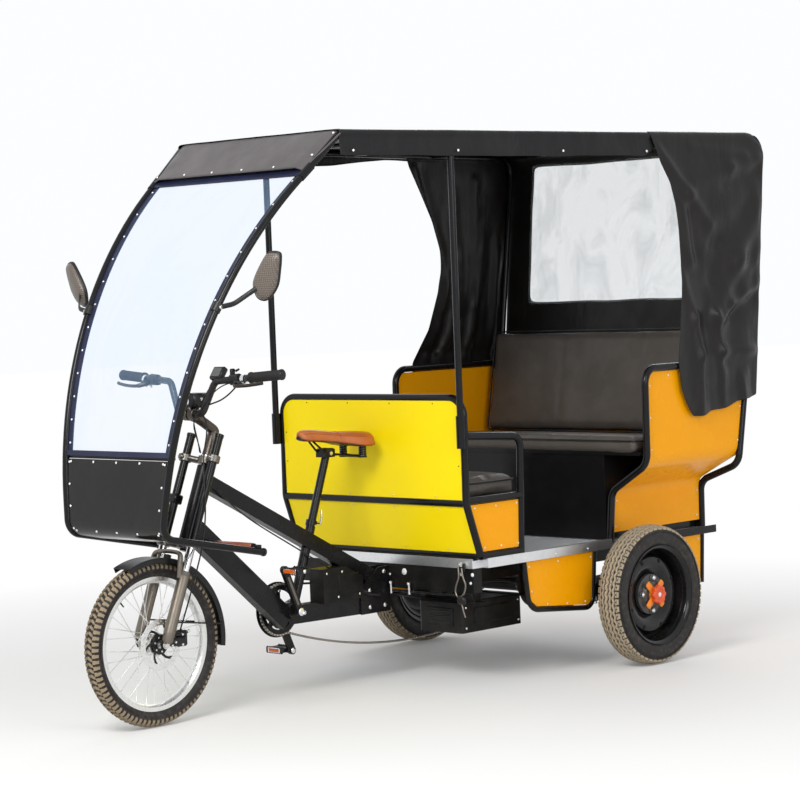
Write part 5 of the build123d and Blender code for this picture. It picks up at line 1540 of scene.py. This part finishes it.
s = Shape()
for a in turns(42):
    out = vec(cos(a), 0, sin(a))
    turn_way = vec(-sin(a), 0, cos(a))
    s.box(CRANK + out * 0.0815, (7.5, 2.6, 5.5), 1.6, (out, LEFT, turn_way), 0)
for side in SIDES:
    s.lathe(((0, 0), (13, 0), (13, 3), (11, 5), (8, 5.4), (7, 4), (0, 4)), P(1190, side * 63, 291),
            (0, side, 0), 24, 1)
    angle = radians(67)
    tip = vec(cos(angle), 0, sin(angle)) * 0.155 * side
    s.lathe(((0, 0), (9.5, 0), (9.5, 2), (7.5, 3.4), (0, 3.4)), P(1190, side * 49, 291) + tip,
            (0, -side, 0), 20, 1)
    run = tip.normalized()
    s.box(P(1190, side * 63.4, 291) + tip * 0.5, (104, 1.4, 9), 2.5, (run, LEFT, run.cross(LEFT)), 2)
for i in range(5):
    a = circle(i, 5) + 0.3
    s.nut(CRANK + vec(cos(a) * 0.062, 0.004, sin(a) * 0.062), LEFT, 5, 4, 1)
    s.nut(CRANK + vec(cos(a) * 0.062, -0.012, sin(a) * 0.062), (0, -1, 0), 5, 4, 1)
s.done("crank_fittings", ("chain", "chrome", "bronze"), "crank", 38, "chain_steel")

for name, side, x, z in (("left", 1, 1250.56, 433.7), ("right", -1, 1129.44, 148.3)):
    s = Shape()
    c = P(x, side * 111, z)
    s.tube([c + vec(0, -side * t, 0) for t in (0.043, 0.040, 0.030, 0, -0.030, -0.038)],
           [7, 10, 9, 8.4, 9, 6], 20, 0)
    for fore in SIDES:
        s.box(c + vec(fore * 0.026, 0, 0), (6, 80, 20), 2.4)
        s.box(c + vec(fore * 0.0296, 0, 0), (2.4, 50, 12), 1.0, None, 1)
        s.box(c + vec(fore * 0.0292, 0, 0), (1.6, 58, 16), 1.0, None, 2)
        for k in range(7):
            y = lerp(-0.034, 0.034, k / 6)
            for up_side in SIDES:
                s.box(c + vec(fore * 0.026, y, up_side * 0.0105), (5, 5, 2.6), 1.0)
    for y in (-0.039, 0.039, 0.0):
        s.box(c + vec(0, y, 0), (54, 5.5, 14), 2.2)
    s.dome(c + vec(0, side * 0.0415, 0), (0, side, 0), 6.5, 3, 2, 14)
    s.done(f"pedal_{name}_parts", ("plastic", "reflector", "chrome"), f"pedal_{name}", 38,
           "black_plastic", (f"pedal_{name}",))


# Rivets, bolts, floor tread, lock, lids
s = Shape()
for y in (-300, -100, 100, 300):
    s.dome(P(786, y, 944), FORE, 2.4, 1.4, 1, 8)
    s.dome(P(786, y, 637), FORE, 2.4, 1.4, 2, 8)
    for t in (0.07, 0.93):
        s.dome(P(lerp(781.2, 728.1, t), y, lerp(607.5, 448.5, t)), (0.949, 0, -0.317), 2.6, 1.4, 2, 8)
for y in (-408, 408):
    for z in (740, 840):
        s.dome(P(786, y, z), FORE, 2.4, 1.4, 1, 8)
SIDE_RIVETS = ((538, 600), (640, 600), (742, 600), (536, 466), (620, 466), (700, 466), (522, 530),
               (488, 380), (478, 296), (400, 246), (300, 236), (206, 232), (170, 380), (340, 384),
               (-352, 384), (-430, 384), (-360, 244), (-426, 244))
for side in SIDES:
    for x, z in SIDE_RIVETS:
        s.dome(P(x, side * 431.4, z), (0, side, 0), 3.4, 1.8, 0, 8)
    for x, z in ((30, 470), (20, 560), (-426, 470), (-430, 560)):
        s.dome(P(x, side * 431.4, z), (0, side, 0), 3.4, 1.8, 0, 8)
    for x, z in ((24, 740), (24, 850), (22, 960), (-80, 990), (-220, 990), (-360, 990), (-470, 980),
                 (-482, 860), (-462, 740)):
        s.dome(P(x, side * 597.4, z), (0, side, 0), 3.4, 1.8, 0, 8)
    for x in (514, 362, 195):
        s.dome(P(x, side * 442.4, 412), (0, side, 0), 3.6, 1.8, 0, 8)
s.done("sheet_rivets", ("snap", "plastic", "steel"), "vehicle", 40, "aluminium_trim")

s = Shape()
for y, z, r in ((98, 375, 11), (410, 380, 6.5), (401, 352, 5), (361, 380, 6.5), (29, 363, 4),
                (-98, 375, 11), (-410, 380, 6.5)):
    s.dome(P(742, y, z), FORE, r, r * 0.55, 0, 16)
for y in (41, 126):
    s.tube([P(752, y, 300), P(752, y, 334)], 5, 10, 1)
    s.nut(P(752, y, 334), UP, 8, 7, 1)
s.box(P(748, 175, 310), (12, 320, 7), 2, None, 2)
for x, y, z in ((770, 26.4, 375), (770, 26.4, 262), (840, 26.4, 262), (840, 26.4, 318)):
    s.dome(P(x, y, z), LEFT, 8, 5, 1, 6)
    s.dome(P(x, -y, z), (0, -1, 0), 8, 5, 1, 6)
for side in SIDES:
    for x in (-330, 330):
        s.nut(P(x, side * 332, 318), (0, side, 0), 9, 8, 1)
    for x in (-30, 30):
        for y in (274, 326):
            s.tube([P(x, side * y, 208), P(x, side * y, 292)], 5, 10, 1)
            s.nut(P(x, side * y, 204), (0, 0, -1), 8, 8, 1)
s.done("chassis_bolts", ("snap", "steel", "frame"), "vehicle", 40, "aluminium_trim")

s = Shape()
for i in range(40):
    for j in range(46):
        x, y = lerp(78, 498, i / 39), lerp(-420, 420, j / 45)
        turned_way = 1 if (i + j) % 2 else -1
        d = vec(0.7, 0.7 * turned_way, 0)
        w = vec(-0.7 * turned_way, 0.7, 0)
        c = P(x, y, 426)
        s.add([c + d * 0.0082, c + w * 0.0024, c - d * 0.0082, c - w * 0.0024,
               c + d * 0.0060 + vec(0, 0, 0.0013), c + w * 0.0012 + vec(0, 0, 0.0013),
               c - d * 0.0060 + vec(0, 0, 0.0013), c - w * 0.0012 + vec(0, 0, 0.0013)], BLOCK)
s.done("floor_tread", ("tread_plate",), "vehicle", 30, "aluminium_trim")

s = Shape()
for side in SIDES:
    s.box(P(-335, side * 443.4, 413), (372, 1.6, 27), 0.6)
s.done("floor_edge_covers", ("frame",), "vehicle", 30, "black_paint")

s = Shape()
shackle = [P(758, 362, 404), P(762, 366, 372), P(760, 352, 344), P(758, 346, 322), P(760, 360, 306),
           P(760, 384, 318), P(758, 392, 346), P(760, 384, 372), P(758, 376, 402)]
s.tube(curve_points(shackle, 6), 3.2, 10, 0)
s.box(P(760, 374, 296), (17, 34, 26), 5, None, 1)
s.tube([P(758, 368, 414), P(758, 376, 414)], 8, 12, 2)
s.tube([P(760, 374, 283), P(760, 380, 262), P(758, 386, 240)], 2.2, 8, 0)
s.box(P(746, 369, 402), (8, 26, 30), 2, None, 1)
s.done("hanging_lock", ("chain", "plastic", "steel"), "vehicle", 40, "chain_steel")

s = Shape()
s.box(P(480, 150, 263), (284, 196, 5), 2)
s.box(P(631, 150, 214), (5, 120, 60), 3)
for z in (196, 214, 232):
    s.box(P(634, 150, z), (3, 96, 6), 1.4, None, 1)
s.box(P(480, 251, 214), (180, 4, 54), 3)
for x in (350, 610):
    for z in (176, 246):
        s.dome(P(x, 250.2, z), LEFT, 4.5, 3, 2, 10)
s.box(P(952, 44, 356), (92, 4, 66), 3)
for x, z in ((902, 316), (1000, 316), (980, 398), (1050, 398)):
    s.dome(P(x, 43.4, z), LEFT, 4.2, 2.6, 2, 10)
s.tube([P(884, 20, 330), P(872, 24, 322), P(846, 30, 306), P(800, 34, 300)], [6, 5, 5, 5], 10, 1)
s.done("power_box_lids", ("under", "plastic", "steel"), "vehicle", 40, "black_plastic")

s = Shape()
s.lathe(((0, 0), (34, 0), (36, 4), (33, 9), (20, 11), (0, 11)), P(41, 0, 0) + vec(0, 0.30, 0.560),
        FORE, 36, 0)
for y in (-0.36, 0.10):
    s.box(P(42, 0, 575) + vec(0, y, 0), (5, 16, 270), 2)
for y, z in ((-400, 440), (-200, 440), (0, 440), (200, 440), (400, 440), (0, 708), (-300, 708),
             (300, 708)):
    s.dome(P(40.2, y, z), FORE, 5, 2.8, 1, 10)
for side in SIDES:
    for z in (466, 574):
        s.dome(P(-475.4, side * 365, z), (-1, 0, 0), 4, 2.4, 1, 8)
    s.box(P(-476.6, side * 365, 520), (3, 62, 3), 1)
s.done("seat_box_trim", ("board", "snap"), "vehicle", 40, "black_board")


# Floor, backdrop and lamps
def pale(name, color):
    """Plain pale floor that keeps the object's shadow and runs out to plain white further off."""
    n = Nodes(name, color, 0.85)
    grain = n.noise(3.0, 3.0)
    n.set("Base Color", n.mix(grain, color, tuple(c * 0.985 for c in color)))
    n.bump(n.noise(180.0, 3.0), 0.04, 0.0006)
    away = n.node("ShaderNodeVectorMath", {0: n.where}, operation="LENGTH").outputs["Value"]
    share = n.math("MULTIPLY", seen_rays(n.tree), n.ramp(away, 1.3, 3.6, 0.10, 1.0))
    white = n.node("ShaderNodeEmission", {"Strength": 1.0})
    both = n.node("ShaderNodeMixShader", {0: share, 1: n.shader.outputs[0], 2: white.outputs[0]})
    n.tree.links.new(both.outputs[0], n.tree.nodes["Material Output"].inputs["Surface"])
    return n.mat


stage = bpy.data.meshes.new("floor_stage")
work = bmesh.new()
corners = [work.verts.new((x, y, -0.0005)) for x, y in ((-30, -30), (30, -30), (30, 30), (-30, 30))]
work.faces.new(corners)
work.normal_update()
work.to_mesh(stage)
work.free()
stage.shade_smooth()
stage.materials.append(pale("pale_floor", (0.86, 0.86, 0.855)))
floor_stage = bpy.data.objects.new("floor_stage", stage)
bpy.context.collection.objects.link(floor_stage)


def lamp(name, place, aim, size, power, tint=(1, 1, 1)):
    data = bpy.data.lights.new(name, "AREA")
    data.shape, data.size, data.size_y = "RECTANGLE", size[0], size[1]
    data.energy, data.color = power, tint
    obj = bpy.data.objects.new(name, data)
    bpy.context.collection.objects.link(obj)
    obj.location = place
    obj.rotation_euler = (Vector(aim) - Vector(place)).to_track_quat("-Z", "Y").to_euler()
    return obj


lamp("key", (4.3, 1.7, 3.9), (0.2, 0.1, 0.8), (2.0, 2.0), 190, (1.0, 0.98, 0.95))
lamp("fill", (1.5, 5.5, 2.6), (0.0, 0.0, 0.9), (3.0, 2.2), 78, (0.98, 0.99, 1.0))
lamp("back", (-4.2, -2.0, 3.6), (0.0, 0.0, 1.0), (3.0, 2.0), 60)
world = bpy.data.worlds.new("studio")
bpy.context.scene.world = world
world.use_nodes = True
tree = world.node_tree
background = tree.nodes["Background"]
background.inputs["Color"].default_value = (0.97, 0.985, 1.0, 1)
power = add_node(tree, "ShaderNodeMapRange", {"Value": seen_rays(tree), "To Min": 0.55, "To Max": 1.0})
tree.links.new(power.outputs["Result"], background.inputs["Strength"])
bpy.context.scene.view_settings.view_transform = "Standard"
